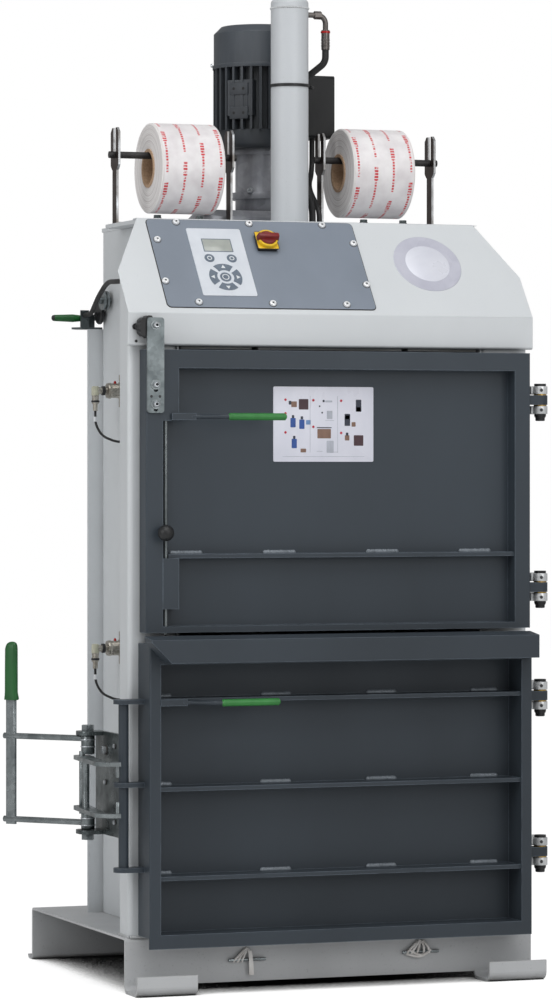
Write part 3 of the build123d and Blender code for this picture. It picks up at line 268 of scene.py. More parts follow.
def makeEdgeRub():  # outer edges recoloured: wear from handling, and a painted highlight where the edge colour is lighter
    group, entry, leave = newGroup(
        "edgeRub", [("Reach", "Float", 0.002), ("Amount", "Float", 0.5)], [("Mask", "Float")])
    soft = newNode(group, "Bevel", {"Radius": entry["Reach"]}, samples=4).outputs[0]
    sharp = newNode(group, "NewGeometry").outputs["Normal"]
    turn = newNode(group, "VectorMath", {0: soft, 1: sharp}, operation="DOT_PRODUCT").outputs["Value"]
    patchy = ramp(group, noise(group, objectSpot(group), 26.0, 4.0), 0.26, 0.52)
    edge = ramp(group, turn, 0.995, 0.86)
    return putOut(group, leave, {"Mask": product(group, edge, patchy, entry["Amount"])})


def makeCornerDust():  # dust and painted shade darkening corners and creases
    group, entry, leave = newGroup(
        "cornerDust", [("Reach", "Float", 0.04), ("Amount", "Float", 0.5)], [("Mask", "Float")])
    corner = ramp(group, openness(group, entry["Reach"], 6), 0.72, 0.15)
    patchy = ramp(group, noise(group, objectSpot(group), 14.0, 5.0), 0.25, 0.6, 0.35, 1.0)
    return putOut(group, leave, {"Mask": product(group, corner, patchy, entry["Amount"])})


def makeZincBloom():  # crystal patches and dull bloom of zinc plating
    group, entry, leave = newGroup(
        "zincBloom",
        [("Light", "Color", (0.6, 0.6, 0.6, 1)), ("Dark", "Color", (0.3, 0.3, 0.3, 1)),
         ("Patch", "Float", 90.0), ("Rough", "Float", 0.38)],
        [("Colour", "Color"), ("Roughness", "Float"), ("Height", "Float")],
    )
    spot = objectSpot(group)
    patch = newNode(group, "TexVoronoi", {"Vector": spot, "Scale": entry["Patch"]})
    cell = newNode(group, "SeparateColor", {0: patch.outputs["Color"]}).outputs[0]
    cloud = noise(group, spot, 22.0, 6.0)
    share = calc(group, "ADD", product(group, cell, 0.3), ramp(group, cloud, 0.35, 0.75, 0.0, 0.7))
    colour = mixed(group, share, entry["Light"], entry["Dark"])
    rough = calc(group, "ADD", entry["Rough"], ramp(group, cloud, 0.3, 0.7, -0.1, 0.14))
    fine = noise(group, spot, 700.0, 2.0)
    return putOut(group, leave, {"Colour": colour, "Roughness": rough, "Height": fine})


coatFilm = makeCoatFilm()
edgeRub = makeEdgeRub()
cornerDust = makeCornerDust()
zincBloom = makeZincBloom()


def newMaterial(name):
    material = bpy.data.materials.new(name)
    material.use_nodes = True
    return material, material.node_tree, material.node_tree.nodes["Principled BSDF"]


def addBump(tree, shader, height, strength, distance):
    bump = newNode(tree, "Bump", {"Strength": strength, "Distance": distance, "Height": height})
    tree.links.new(bump.outputs[0], shader.inputs["Normal"])


# colours corners darker: dust, and painted shade where the open is hidden
def dusted(tree, colour, look, reach, dirt):
    if "dust" not in look:
        return colour
    amounts = {"Amount": look["dust"], "Reach": look.get("reach", reach)}
    dust = newNode(tree, "Group", amounts, node_tree=cornerDust)
    return mixed(tree, dust.outputs["Mask"], colour, tint(*look.get("dustColour", dirt)))


paint = {}


def coat(name, colour, shade, rough, **look):
    material, tree, shader = newMaterial(name)
    amounts = {"Colour": tint(*colour), "Shade": tint(*shade), "Rough": rough, "Drift": look["drift"],
               "Grain": look.get("grain", 900), "Specks": look["specks"]}
    film = newNode(tree, "Group", amounts, node_tree=coatFilm)
    colour = dusted(tree, film.outputs["Colour"], look, 0.04, (92, 90, 86))
    # edge colour: wear where darker, painted highlight where lighter than the paint
    if "rub" in look:
        rub = newNode(tree, "Group", {"Amount": look["rub"]}, node_tree=edgeRub)
        colour = mixed(tree, rub.outputs["Mask"], colour, tint(*look["rubColour"]))
    tree.links.new(colour, shader.inputs["Base Color"])
    tree.links.new(film.outputs["Roughness"], shader.inputs["Roughness"])
    shader.inputs["Specular IOR Level"].default_value = look.get("gloss", 0.5)
    addBump(tree, shader, film.outputs["Height"], look.get("bump", 0.12), 0.0004)
    paint[name] = material


def plating(name, light, dark, rough, patch, **look):
    material, tree, shader = newMaterial(name)
    amounts = {"Light": tint(*light), "Dark": tint(*dark), "Rough": rough, "Patch": patch}
    bloom = newNode(tree, "Group", amounts, node_tree=zincBloom)
    colour = dusted(tree, bloom.outputs["Colour"], look, 0.02, (58, 52, 46))
    if "flank" in look:  # broad side faces painted dark brown: painted shade and painted reflection; cut edges stay bright
        sideways = newNode(tree, "SeparateXYZ", {0: newNode(tree, "TexCoord").outputs["Normal"]}).outputs[0]
        tarnish = product(tree, ramp(tree, calc(tree, "ABSOLUTE", sideways), 0.6, 0.9),
                          ramp(tree, bloom.outputs["Roughness"], 0.25, 0.5, 1.0, 0.86))
        colour = mixed(tree, tarnish, colour, tint(*look["flank"]))
    tree.links.new(colour, shader.inputs["Base Color"])
    tree.links.new(bloom.outputs["Roughness"], shader.inputs["Roughness"])
    shader.inputs["Metallic"].default_value = look.get("metal", 0.85)
    addBump(tree, shader, bloom.outputs["Height"], 0.1, 0.0003)
    paint[name] = material


coat("bodyPaint", (211, 215, 218), (201, 205, 208), 0.42, drift=2.6, specks=0.05, dust=0.35, rub=0.3,
     rubColour=(226, 229, 231))
coat("cylinderPaint", (199, 203, 207), (188, 192, 196), 0.4, drift=5, specks=0.08, dust=0.35, rub=0.3,
     rubColour=(222, 226, 229))
coat("basePaint", (196, 198, 200), (181, 183, 185), 0.5, drift=3.4, specks=0.22, dust=0.6, rub=0.4,
     rubColour=(160, 158, 152))
coat("chamberPaint", (196, 199, 201), (150, 150, 148), 0.5, drift=5, specks=0.4, dust=0.6, rub=0.4,
     rubColour=(120, 118, 114))
coat("doorPaint", (58, 66, 74), (52, 59, 66), 0.42, drift=3, gloss=0.34, specks=0.1, dust=0.25,
     dustColour=(40, 44, 48), rub=0.9, rubColour=(112, 124, 136))
coat("panelGrey", (127, 136, 149), (119, 128, 140), 0.36, drift=6, grain=1400, specks=0.05, rub=0.4,
     rubColour=(168, 176, 184))
coat("keypadFoil", (212, 217, 224), (204, 209, 217), 0.38, drift=30, grain=2200, specks=0.03, bump=0.06)
coat("keyGrey", (104, 116, 130), (92, 104, 118), 0.45, drift=60, grain=2500, specks=0.05, bump=0.08)
coat("screenGlass", (172, 176, 170), (158, 163, 158), 0.12, drift=40, grain=400, specks=0.02, bump=0.01,
     gloss=0.6)
coat("switchBlack", (30, 31, 33), (22, 23, 25), 0.45, drift=60, specks=0.0, rub=0.5, rubColour=(70, 70, 72))
coat("switchYellow", (236, 196, 40), (222, 180, 30), 0.35, drift=50, specks=0.04, bump=0.06)
coat("switchRed", (126, 34, 34), (104, 26, 28), 0.34, drift=50, specks=0.0, rub=0.4, rubColour=(170, 70, 66))
coat("motorPaint", (66, 72, 79), (54, 59, 65), 0.48, drift=12, grain=500, specks=0.2, dust=0.5,
     dustColour=(28, 29, 31), rub=0.7, rubColour=(112, 118, 124), bump=0.25)
coat("padPaint", (57, 62, 68), (47, 51, 56), 0.5, drift=16, grain=500, specks=0.2, dust=0.6,
     dustColour=(24, 25, 27), rub=0.6, rubColour=(92, 98, 105), bump=0.25)
coat("boxBlack", (22, 23, 25), (16, 17, 18), 0.5, drift=14, gloss=0.35, grain=700, specks=0.05, rub=0.6,
     rubColour=(78, 80, 84), bump=0.2)
coat("hoseRubber", (32, 32, 33), (22, 22, 23), 0.55, drift=40, grain=600, specks=0.1, bump=0.3)
coat("axleBlack", (38, 36, 36), (28, 27, 28), 0.45, drift=40, specks=0.1, rub=0.6, rubColour=(94, 90, 86))
coat("gripGreen", (51, 134, 60), (40, 113, 50), 0.36, drift=30, grain=500, specks=0.05, rub=0.3,
     rubColour=(120, 190, 112))
coat("leverGreen", (32, 96, 45), (23, 77, 36), 0.4, drift=30, grain=500, specks=0.05, rub=0.3,
     rubColour=(90, 160, 96))
plating("postSteel", (196, 200, 204), (120, 112, 104), 0.36, 60, dust=0.5, dustColour=(84, 56, 40),
        flank=(48, 27, 15))
plating("tankMetal", (176, 178, 184), (128, 130, 136), 0.46, 40, metal=0.6, dust=0.5)
plating("zincCoat", (158, 165, 167), (88, 95, 97), 0.28, 110, dust=0.75, reach=0.03, dustColour=(48, 52, 52))
# a darker copy of zinc with strong corner darkening: painted shade, made for the shadowed lock bracket
plating("bracketZinc", (116, 124, 125), (64, 70, 72), 0.28, 70, dust=0.85, reach=0.05,
        dustColour=(38, 43, 43))
plating("blockZinc", (224, 226, 227), (178, 181, 183), 0.34, 200, metal=0.4, dust=0.6,
        dustColour=(70, 68, 64))
plating("fittingSteel", (130, 125, 122), (78, 74, 72), 0.32, 160, dust=0.7)
plating("screwWhite", (246, 247, 248), (214, 217, 220), 0.28, 400, metal=0.3)
plating("brightZinc", (226, 230, 233), (170, 176, 182), 0.3, 260)
plating("stripZinc", (140, 148, 150), (90, 98, 101), 0.36, 140, dust=0.4)
plating("hardChrome", (224, 226, 230), (196, 200, 206), 0.14, 30, metal=1.0)
plating("glandBrass", (206, 172, 96), (150, 118, 62), 0.36, 200, metal=0.95)
plating("nickel", (206, 202, 192), (120, 112, 100), 0.26, 320, metal=0.95, dust=0.6)
plating("badgeSilver", (196, 197, 209), (178, 179, 193), 0.4, 30, metal=0.1)
plating("badgePale", (222, 224, 233), (206, 208, 219), 0.36, 24, metal=0.1)
coat("plugCream", (196, 196, 176), (170, 170, 150), 0.4, drift=80, specks=0.2)
coat("ledRed", (178, 22, 18), (150, 14, 12), 0.18, drift=200, specks=0.0, bump=0.02)
coat("tagWhite", (226, 229, 232), (210, 213, 216), 0.5, drift=60, specks=0.1)
plating("weldGrey", (138, 146, 154), (84, 91, 98), 0.4, 300, metal=0.2)
plating("weldPale", (206, 209, 211), (158, 160, 160), 0.45, 300, metal=0.05)
coat("strapCloth", (236, 234, 232), (208, 203, 198), 0.6, drift=60, grain=1500, specks=0.2, bump=0.4)
coat("placardWhite", (226, 227, 238), (216, 218, 230), 0.3, drift=20, specks=0.03, bump=0.03)
print("paints and platings mixed")


def rollSpace(tree, node):  # place on a roll: along its axle, round it and out from it
    low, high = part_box(node)
    centre = (low + high) / 2
    local = newNode(tree, "Mapping", {"Vector": objectSpot(tree), "Location": tuple(-centre)}).outputs[0]
    x, y, z = newNode(tree, "SeparateXYZ", {0: local}).outputs
    angle = product(tree, calc(tree, "ARCTAN2", z, y), 1 / (2 * math.pi))
    flat = newNode(tree, "CombineXYZ", {1: y, 2: z}).outputs[0]
    radius = newNode(tree, "VectorMath", {0: flat}, operation="LENGTH").outputs["Value"]
    return x, angle, radius, (high.x - low.x) / 2


def sine(tree, value, rate):
    return calc(tree, "SINE", product(tree, value, rate))


# woven strap: fine cross threads, wound ends, rows of red dashes
tapeLook = {"white": (242, 239, 240), "thread": (222, 217, 219), "red": (206, 40, 50), "end": (252, 250, 248),
            "winding": (184, 174, 173), "columns": 3.5, "dashes": 5.0, "stagger": 0.37, "marks": 19.0,
            "threadRate": 5200.0, "weftRate": 1500.0, "windingScale": 330.0}


def tapeMaterial(name, node):
    material, tree, shader = newMaterial(name)
    spot = objectSpot(tree)
    x, angle, radius, half = rollSpace(tree, node)
    across = product(tree, x, tapeLook["columns"] / (2 * half))
    place = calc(tree, "FRACT", across)
    stagger = product(tree, calc(tree, "FLOOR", across), tapeLook["stagger"])
    run = calc(tree, "ADD", product(tree, angle, tapeLook["dashes"]), stagger)
    dash = calc(tree, "FRACT", run)
    head = product(tree, between(tree, place, 0.38, 0.40, 0.60, 0.62), ramp(tree, dash, 0.31, 0.29))
    tail = between(tree, place, 0.43, 0.45, 0.55, 0.57)
    inColumn = calc(tree, "MAXIMUM", tail, head)  # a bold start, then thinner marks
    inDash = between(tree, dash, 0.05, 0.06, 0.87, 0.88)
    mark = calc(tree, "FRACT", product(tree, run, tapeLook["marks"]))
    inMark = between(tree, mark, 0.1, 0.2, 0.8, 0.9)
    worn = ramp(tree, noise(tree, spot, 140.0, 3.0), 0.3, 0.5)
    side = ramp(tree, calc(tree, "ABSOLUTE", x), half - 0.0045, half - 0.0038)  # 1 on the end faces
    outer = calc(tree, "SUBTRACT", 1.0, side)
    red = product(tree, inColumn, inDash, inMark, worn, outer)
    weave = product(tree, sine(tree, x, tapeLook["threadRate"]), sine(tree, angle, tapeLook["weftRate"]))
    layer = noise(tree, newNode(tree, "CombineXYZ", {0: radius}).outputs[0], tapeLook["windingScale"], 3.0)
    height = calc(tree, "ADD", product(tree, weave, outer), product(tree, layer, side))
    cloud = noise(tree, spot, 26.0, 4.0)
    base = mixed(tree, ramp(tree, cloud, 0.35, 0.7), tint(*tapeLook["white"]), tint(*tapeLook["thread"]))
    # end faces lighter: the wound edge's paler tone, and painted light where the lamps leave those faces in
    # shade
    base = mixed(tree, product(tree, side, 0.75), base, tint(*tapeLook["end"]))
    windings = product(tree, side, ramp(tree, layer, 0.42, 0.64, 0.0, 0.6))
    base = mixed(tree, windings, base, tint(*tapeLook["winding"]))
    tree.links.new(mixed(tree, red, base, tint(*tapeLook["red"])), shader.inputs["Base Color"])
    tree.links.new(ramp(tree, cloud, 0.3, 0.7, 0.5, 0.62), shader.inputs["Roughness"])
    addBump(tree, shader, height, 0.35, 0.0004)
    return material


cardLook = {"light": (206, 174, 143), "dark": (180, 149, 120), "ply": (128, 100, 78), "plyRate": 6200.0}


def cardMaterial(name, node):  # wound card, its plies showing at the ends
    material, tree, shader = newMaterial(name)
    ply = sine(tree, rollSpace(tree, node)[2], cardLook["plyRate"])
    fibre = noise(tree, objectSpot(tree), 320.0, 5.0)
    colour = mixed(tree, ramp(tree, fibre, 0.3, 0.7), tint(*cardLook["light"]), tint(*cardLook["dark"]))
    colour = mixed(tree, ramp(tree, ply, 0.2, 1.0, 0.0, 0.35), colour, tint(*cardLook["ply"]))
    tree.links.new(colour, shader.inputs["Base Color"])
    tree.links.new(ramp(tree, fibre, 0.3, 0.7, 0.7, 0.85), shader.inputs["Roughness"])
    addBump(tree, shader, fibre, 0.3, 0.0005)
    return material


def dress(material, names):
    for name in names.split():
        for holder in nodes[name].material_slots:
            holder.material = material


finishes = {
    "bodyPaint": "left_column right_column rear_columns header_beam top_plate hood chamber_walls",
    "cylinderPaint": "cylinder",
    "basePaint": "base",
    "chamberPaint": "chamber_floor platen",
    "doorPaint": "upper_door lower_door loading_lip upper_handle lower_handle lock_bar bolt_cover",
    "panelGrey": "control_panel",
    "keypadFoil": "keypad",
    "switchBlack": "switch_base latch_knob bolt_ball hinge_pins rubber_buffer",
    "switchRed": "switch_knob",
    "hardChrome": "piston_rod",
    "glandBrass": "rod_gland hinge_washers",
    "tankMetal": "oil_tank pump_housing",
    "motorPaint": "motor_cowl",
    "padPaint": "motor",
    "boxBlack": "terminal_box",
    "zincCoat": "pivot_bolts lock_lever lock_hook drop_bolt release_lever cable_pulley",
    "bracketZinc": "lock_bracket release_base",
    "blockZinc": "hinge_blocks",
    "fittingSteel": "hose_fitting",
    "stripZinc": "latch_strip",
    "postSteel": "roll_posts",
    "hoseRubber": "pressure_hose motor_cable sensor_leads release_cable",
    "axleBlack": "roll_axles",
    "gripGreen": "upper_grip lower_grip",
    "leverGreen": "lever_grip release_grip",
    "nickel": "door_sensors",
}
for name, solids in finishes.items():
    dress(paint[name], solids)
for side in ("left", "right"):
    dress(tapeMaterial("tape" + side.title(), "tape_roll_" + side), "tape_roll_" + side)
    dress(cardMaterial("card" + side.title(), "roll_core_" + side), "roll_core_" + side)

# sheet and bar edges catch the light on a small round, in millimetres
edgeRound = {
    1.6: "upper_door lower_door base",
    1.4: "loading_lip terminal_box",
    1.2: "hood motor_cowl rear_columns",
    1.0: "top_plate bolt_cover lock_lever lock_hook lock_bracket hinge_blocks oil_tank left_column "
         "right_column chamber_walls upper_handle lower_handle latch_knob pump_housing",
    0.8: "latch_strip switch_base roll_posts",
    0.6: "control_panel release_base door_sensors",
}
for width, names in edgeRound.items():
    for name in names.split():
        weld = nodes[name].modifiers.new("weld", "WELD")
        weld.merge_threshold = 0.00002
        edge = nodes[name].modifiers.new("edge", "BEVEL")
        edge.width = width / 1000
        edge.segments = 2
        edge.limit_method = "ANGLE"
        edge.angle_limit = math.radians(40)
        edge.harden_normals = True
print("solids painted")


# small tools for the added pieces; shapes are in millimetres until they are added
def add(piece, shape, place, slot=0):
    for face in shape.faces:
        face.material_index = slot
    bmesh.ops.remove_doubles(shape, verts=shape.verts, dist=0.001)
    bmesh.ops.recalc_face_normals(shape, faces=shape.faces)
    shape.transform(place @ Matrix.Scale(0.001, 4))
    part = newMesh("part", shape)
    piece.from_mesh(part)
    bpy.data.meshes.remove(part)


def settle(name, piece, materials, body, angle=32):
    mesh = newMesh(name, piece)
    for material in materials.split():
        mesh.materials.append(paint[material])
    mesh.shade_smooth()
    mesh.set_sharp_from_angle(angle=math.radians(angle))
    made = newObject(name, mesh)
    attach(made, body)
    return made


def turned(profile, steps=24):  # radius and height pairs spun round the local Z axis
    shape = bmesh.new()
    points = [shape.verts.new((radius, 0, height)) for radius, height in profile]
    lines = [shape.edges.new(pair) for pair in zip(points, points[1:])]
    bmesh.ops.spin(shape, geom=points + lines, cent=(0, 0, 0), axis=(0, 0, 1), angle=2 * math.pi, steps=steps,
                   use_merge=True)
    return shape


def dot(radius, height, foot=None):
    return turned([(0, height), (radius, height), (foot or radius, 0), (0, 0)], 16)


def hoop(inner, outer, low, high, steps):
    return turned([(inner, low), (outer, low), (outer, high), (inner, high), (inner, low)], steps)


def rounded(shape, edges, offset, segments=2):
    bmesh.ops.bevel(shape, geom=edges, offset=offset, affect="EDGES", segments=segments, profile=0.5,
                    material=-1)


def slab(width, depth, height, rounding=0.0):  # stands on the local XY plane
    shape = bmesh.new()
    verts = bmesh.ops.create_cube(shape, size=1)["verts"]
    bmesh.ops.scale(shape, vec=(width, depth, height), verts=verts)
    bmesh.ops.translate(shape, vec=(0, 0, height / 2), verts=verts)
    if rounding:
        rounded(shape, list(shape.edges), rounding)
    return shape


def topEdges(shape, height):
    return [e for e in shape.edges if all(v.co.z > height * 0.9 for v in e.verts)]


def roundedPlate(width, depth, height, corner, edge=0.0):
    shape = slab(width, depth, height)
    posts = [e for e in shape.edges if abs(e.verts[0].co.z - e.verts[1].co.z) > height / 2]
    rounded(shape, posts, corner, 6)
    if edge:
        rounded(shape, topEdges(shape, height), edge)
    return shape


def hexagon(across, height, rounding=0.6):  # bolt heads and nuts
    shape = bmesh.new()
    reach = across / 2 / math.cos(math.pi / 6)
    bmesh.ops.create_cone(shape, cap_ends=True, segments=6, radius1=reach, radius2=reach, depth=height)
    bmesh.ops.translate(shape, vec=(0, 0, height / 2), verts=shape.verts)
    rounded(shape, topEdges(shape, height), rounding)
    return shape


def wire(points, radius):  # a thin bent rod along a NURBS line
    curve = bpy.data.curves.new("wire", "CURVE")
    curve.dimensions = "3D"
    curve.bevel_depth = radius
    curve.bevel_resolution = 3
    curve.resolution_u = 8
    curve.use_fill_caps = True
    line = curve.splines.new("NURBS")
    line.points.add(len(points) - 1)
    for spot, point in zip(line.points, points):
        spot.co = (*point, 1)
    line.order_u = 3
    line.use_endpoint_u = True
    holder = bpy.data.objects.new("wire", curve)
    mesh = bpy.data.meshes.new_from_object(holder)
    shape = bmesh.new()
    shape.from_mesh(mesh)
    bpy.data.objects.remove(holder)
    bpy.data.curves.remove(curve)
    bpy.data.meshes.remove(mesh)
    return shape


def socketHead(diameter, height, socket):
    r = diameter / 2
    return turned([(0, height * 0.35), (socket / 2, height * 0.35), (socket / 2, height * 0.98),
                   (r * 0.62, height), (r * 0.9, height * 0.72), (r, height * 0.3), (r, 0), (0, 0)])


def washer(outer, height):
    r = outer / 2
    return turned([(0, height), (r - 0.4, height), (r, height - 0.4), (r, 0), (0, 0)], 28)


def hexBolt(piece, place, across, height, ring, ringSlot=0):
    ringHeight = 1.8
    add(piece, washer(ring, ringHeight), place, ringSlot)
    add(piece, hexagon(across, height), shifted(place, z=ringHeight))


ripple = {"pitch": 0.3, "size": (0.47, 0.52), "flat": (1.0, 1.0, 0.75), "stray": (0.4, 0.4, 0.3)}


def bead(piece, start, end, size, way):  # a stitch of weld: overlapping ripples
    start, end = Vector(start), Vector(end)
    count = max(3, int((end - start).length / (size * ripple["pitch"])))
    for k in range(count + 1):
        shape = bmesh.new()
        bmesh.ops.create_icosphere(shape, subdivisions=2, radius=size * rand.uniform(*ripple["size"]))
        bmesh.ops.scale(shape, vec=ripple["flat"], verts=shape.verts)
        spot = start.lerp(end, k / count) + Vector([rand.uniform(-s, s) for s in ripple["stray"]])
        add(piece, shape, facing(*spot, way))


# control panel: black sheet under its edge (its dark edge and painted shade of the gap), screws, foil print,
# main switch
panelLook = {"middle": (-126.5, 127.5), "gasket": (442, 230, 0.9, 10), "lifts": (2.0, 2.4, 4.1),
             "washer": (16.6, 0.5), "head": (14.4, 4.6, 5.0), "socket": (2.3, 0.2),
             "screws": [(-284, 234), (-129, 234), (28, 234), (85, 186.5), (87, 78), (32, 25), (-125, 25),
                        (-280, 26), (-338.6, 79), (-333, 187)]}
# black sheet under the panel: the panel's dark edge, and painted shade for the gap beneath it
gasket = bmesh.new()
add(gasket, roundedPlate(*panelLook["gasket"]), onSlope(*panelLook["middle"]))
settle("panel_gasket", gasket, "hoseRubber", "frame")
screws = bmesh.new()
washerLift, headLift, socketLift = panelLook["lifts"]
for x, up in panelLook["screws"]:
    add(screws, washer(*panelLook["washer"]), onSlope(x, up, washerLift), 1)
    add(screws, socketHead(*panelLook["head"]), onSlope(x, up, headLift))
    # a black disc in each socket: painted shade in the recess
    add(screws, dot(*panelLook["socket"]), onSlope(x, up, socketLift), 1)
settle("panel_screws", screws, "screwWhite switchBlack", "frame")

foilLook = {"middle": -210, "lift": 3.5, "border": (62.4, 34.4, 0.25, 1.2), "borderPlace": (-210, 174, 3.4),
            "glass": (58.5, 30.5, 0.3, 0.8, 0.1), "glassPlace": (-210, 174, 3.45), "keys": (-23.5, 23.5),
            "keyUp": 140, "key": [(0, 0.6), (8.2, 0.7), (10.25, 0.62), (10.45, 0), (0, 0)],
            "keyMark": (3.485, 5.125, 0.6, 0.78), "ringUp": 91, "ring": (17.4, 34.2), "ringRise": 0.62,
            "segment": 74, "arrow": (5.2, 0.3), "arrowRise": 0.7, "hubMark": (5.6, 7.4, 0.6, 0.78),
            "hub": [(0, 0.62), (10.6, 0.7), (11.6, 0.6), (11.8, 0), (0, 0)]}
window = bmesh.new()
add(window, roundedPlate(*foilLook["border"]), onSlope(*foilLook["borderPlace"]), 1)
add(window, roundedPlate(*foilLook["glass"]), onSlope(*foilLook["glassPlace"]))
settle("keypad_window", window, "screenGlass keyGrey", "frame")
keys = bmesh.new()
for x in foilLook["keys"]:
    place = onSlope(foilLook["middle"] + x, foilLook["keyUp"], foilLook["lift"])
    add(keys, turned(foilLook["key"], 32), place)
    add(keys, hoop(*foilLook["keyMark"], 24), place, 1)
ringPlace = onSlope(foilLook["middle"], foilLook["ringUp"], foilLook["lift"])
inner, outer = foilLook["ring"]
for turn in (0, 90, 180, 270):
    sector = bmesh.new()
    section = [(inner, 0), (outer, 0), (outer, foilLook["ringRise"]), (inner, foilLook["ringRise"])]
    corners = [sector.verts.new((radius, 0, rise)) for radius, rise in section]
    loop = [sector.edges.new((corners[k - 1], corners[k])) for k in range(4)]
    bmesh.ops.spin(sector, geom=corners + loop, cent=(0, 0, 0), axis=(0, 0, 1),
                   angle=math.radians(foilLook["segment"]), steps=12)
    bmesh.ops.holes_fill(sector, edges=[e for e in sector.edges if e.is_boundary])
    add(keys, sector, spun(ringPlace, turn - foilLook["segment"] / 2))
    arrow = bmesh.new()
    size, depth = foilLook["arrow"]
    bmesh.ops.create_cone(arrow, cap_ends=True, segments=3, radius1=size, radius2=size, depth=depth)
    place = shifted(spun(ringPlace, turn), (inner + outer) / 2, z=foilLook["arrowRise"])
    add(keys, arrow, spun(place, -90), 1)
add(keys, turned(foilLook["hub"], 32), ringPlace)
add(keys, hoop(*foilLook["hubMark"], 28), ringPlace, 1)
settle("keypad_keys", keys, "keyGrey tagWhite", "frame")

switchLook = {"place": (-105, 183), "plateLift": 10.0, "plate": (43.4, 43.4, 1.8, 2.5, 0.4),
              "collar": [(17.4, 10), (20.4, 10), (21.6, 8.8), (21.6, 1.5), (17.4, 1.5), (17.4, 10)],
              "hubLift": 11.8, "hub": [(0, 11), (14.6, 11), (16.6, 9), (17, 0), (0, 0)],
              "handleLift": 15.5, "handle": (46, 13.5, 15.5), "taper": (0.94, 0.72, 1), "rounding": 2.2}
switchPlate = bmesh.new()
place = onSlope(*switchLook["place"], switchLook["plateLift"])
add(switchPlate, roundedPlate(*switchLook["plate"]), place)
add(switchPlate, turned(switchLook["collar"], 40), place)
settle("switch_plate", switchPlate, "switchYellow", "frame")
handle = slab(*switchLook["handle"])
bmesh.ops.scale(handle, vec=switchLook["taper"], verts=[v for v in handle.verts if v.co.z > 1])
rounded(handle, list(handle.edges), switchLook["rounding"], 3)
switchKnob = bmesh.new()
add(switchKnob, turned(switchLook["hub"], 40), onSlope(*switchLook["place"], switchLook["hubLift"]))
add(switchKnob, handle, onSlope(*switchLook["place"], switchLook["handleLift"]))
switchKnob = settle("switch_handle", switchKnob, "switchRed", "switch_knob")
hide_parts("switch_knob")

badgeLook = {"place": (235, 138), "disc": [(0, 0.9), (71.2, 0.9), (72, 0.4), (72, 0), (0, 0)],
             "centre": [(0, 0.5), (45.36, 0.5), (46.8, 0.1), (46.8, 0), (0, 0)], "centreLift": 0.85}
badge = bmesh.new()
add(badge, turned(badgeLook["disc"], 72), onSlope(*badgeLook["place"]))
add(badge, turned(badgeLook["centre"], 72), onSlope(*badgeLook["place"], badgeLook["centreLift"]), 1)
settle("badge_disc", badge, "badgeSilver badgePale", "frame")
print("control panel dressed")

# bolts on the hood's top flange and the top plate
topBoltLook = {"bolt": (13, 5.5, 17), "spots": {
    1526: [(-315, 150), (-226, 150), (128, 150), (214, 150)],
    1523: [(-300, 300), (300, 300), (-180, 440), (180, 440)]}}
bolts = bmesh.new()
for z, spots in topBoltLook["spots"].items():
    for x, y in spots:
        hexBolt(bolts, facing(x, y, z, upWay), *topBoltLook["bolt"])
settle("top_bolts", bolts, "bracketZinc", "frame")

# latch strip screws with black socket discs and black hole discs as painted shade, stud and screw beside the
# star knob
stripLook = {"x": -385.5, "front": -48, "screws": [1306, 1190, 1152], "washer": (20, 1.6),
             "head": (13, 7.5, 6.0), "socket": (2.8, 0.2), "socketRise": 4.3,
             "holes": [(-394.5, 1167), (-377, 1167)], "hole": (2.4, 0.15, 2.8)}
stripBolts = bmesh.new()
for z in stripLook["screws"]:
    place = facing(stripLook["x"], stripLook["front"], z, frontWay)
    add(stripBolts, washer(*stripLook["washer"]), place, 2)
    add(stripBolts, socketHead(*stripLook["head"]), shifted(place, z=stripLook["washer"][1]))
    # a black disc in each socket: painted shade in the recess
    add(stripBolts, dot(*stripLook["socket"]), shifted(place, z=stripLook["socketRise"]), 1)
for x, z in stripLook["holes"]:
    # black discs for the strip's holes: painted shade
    add(stripBolts, dot(*stripLook["hole"]), facing(x, stripLook["front"], z, frontWay), 1)
settle("strip_bolts", stripBolts, "brightZinc switchBlack zincCoat", "upper_door")
studLook = {"stud": [(0, 12), (2.6, 12), (3.3, 11), (3.3, 2), (6, 2), (6, 0), (0, 0)],
            "studPlace": (-417, -15, 1304), "screw": [(0, 1.2), (1.8, 1.4), (2.8, 0.6), (2.8, 0), (0, 0)],
            "screwPlace": (-415, -15, 1275.5)}
stud = bmesh.new()
add(stud, turned(studLook["stud"], 20), facing(*studLook["studPlace"], frontWay))
add(stud, turned(studLook["screw"], 16), facing(*studLook["screwPlace"], frontWay))
settle("hood_stud", stud, "switchBlack", "frame")

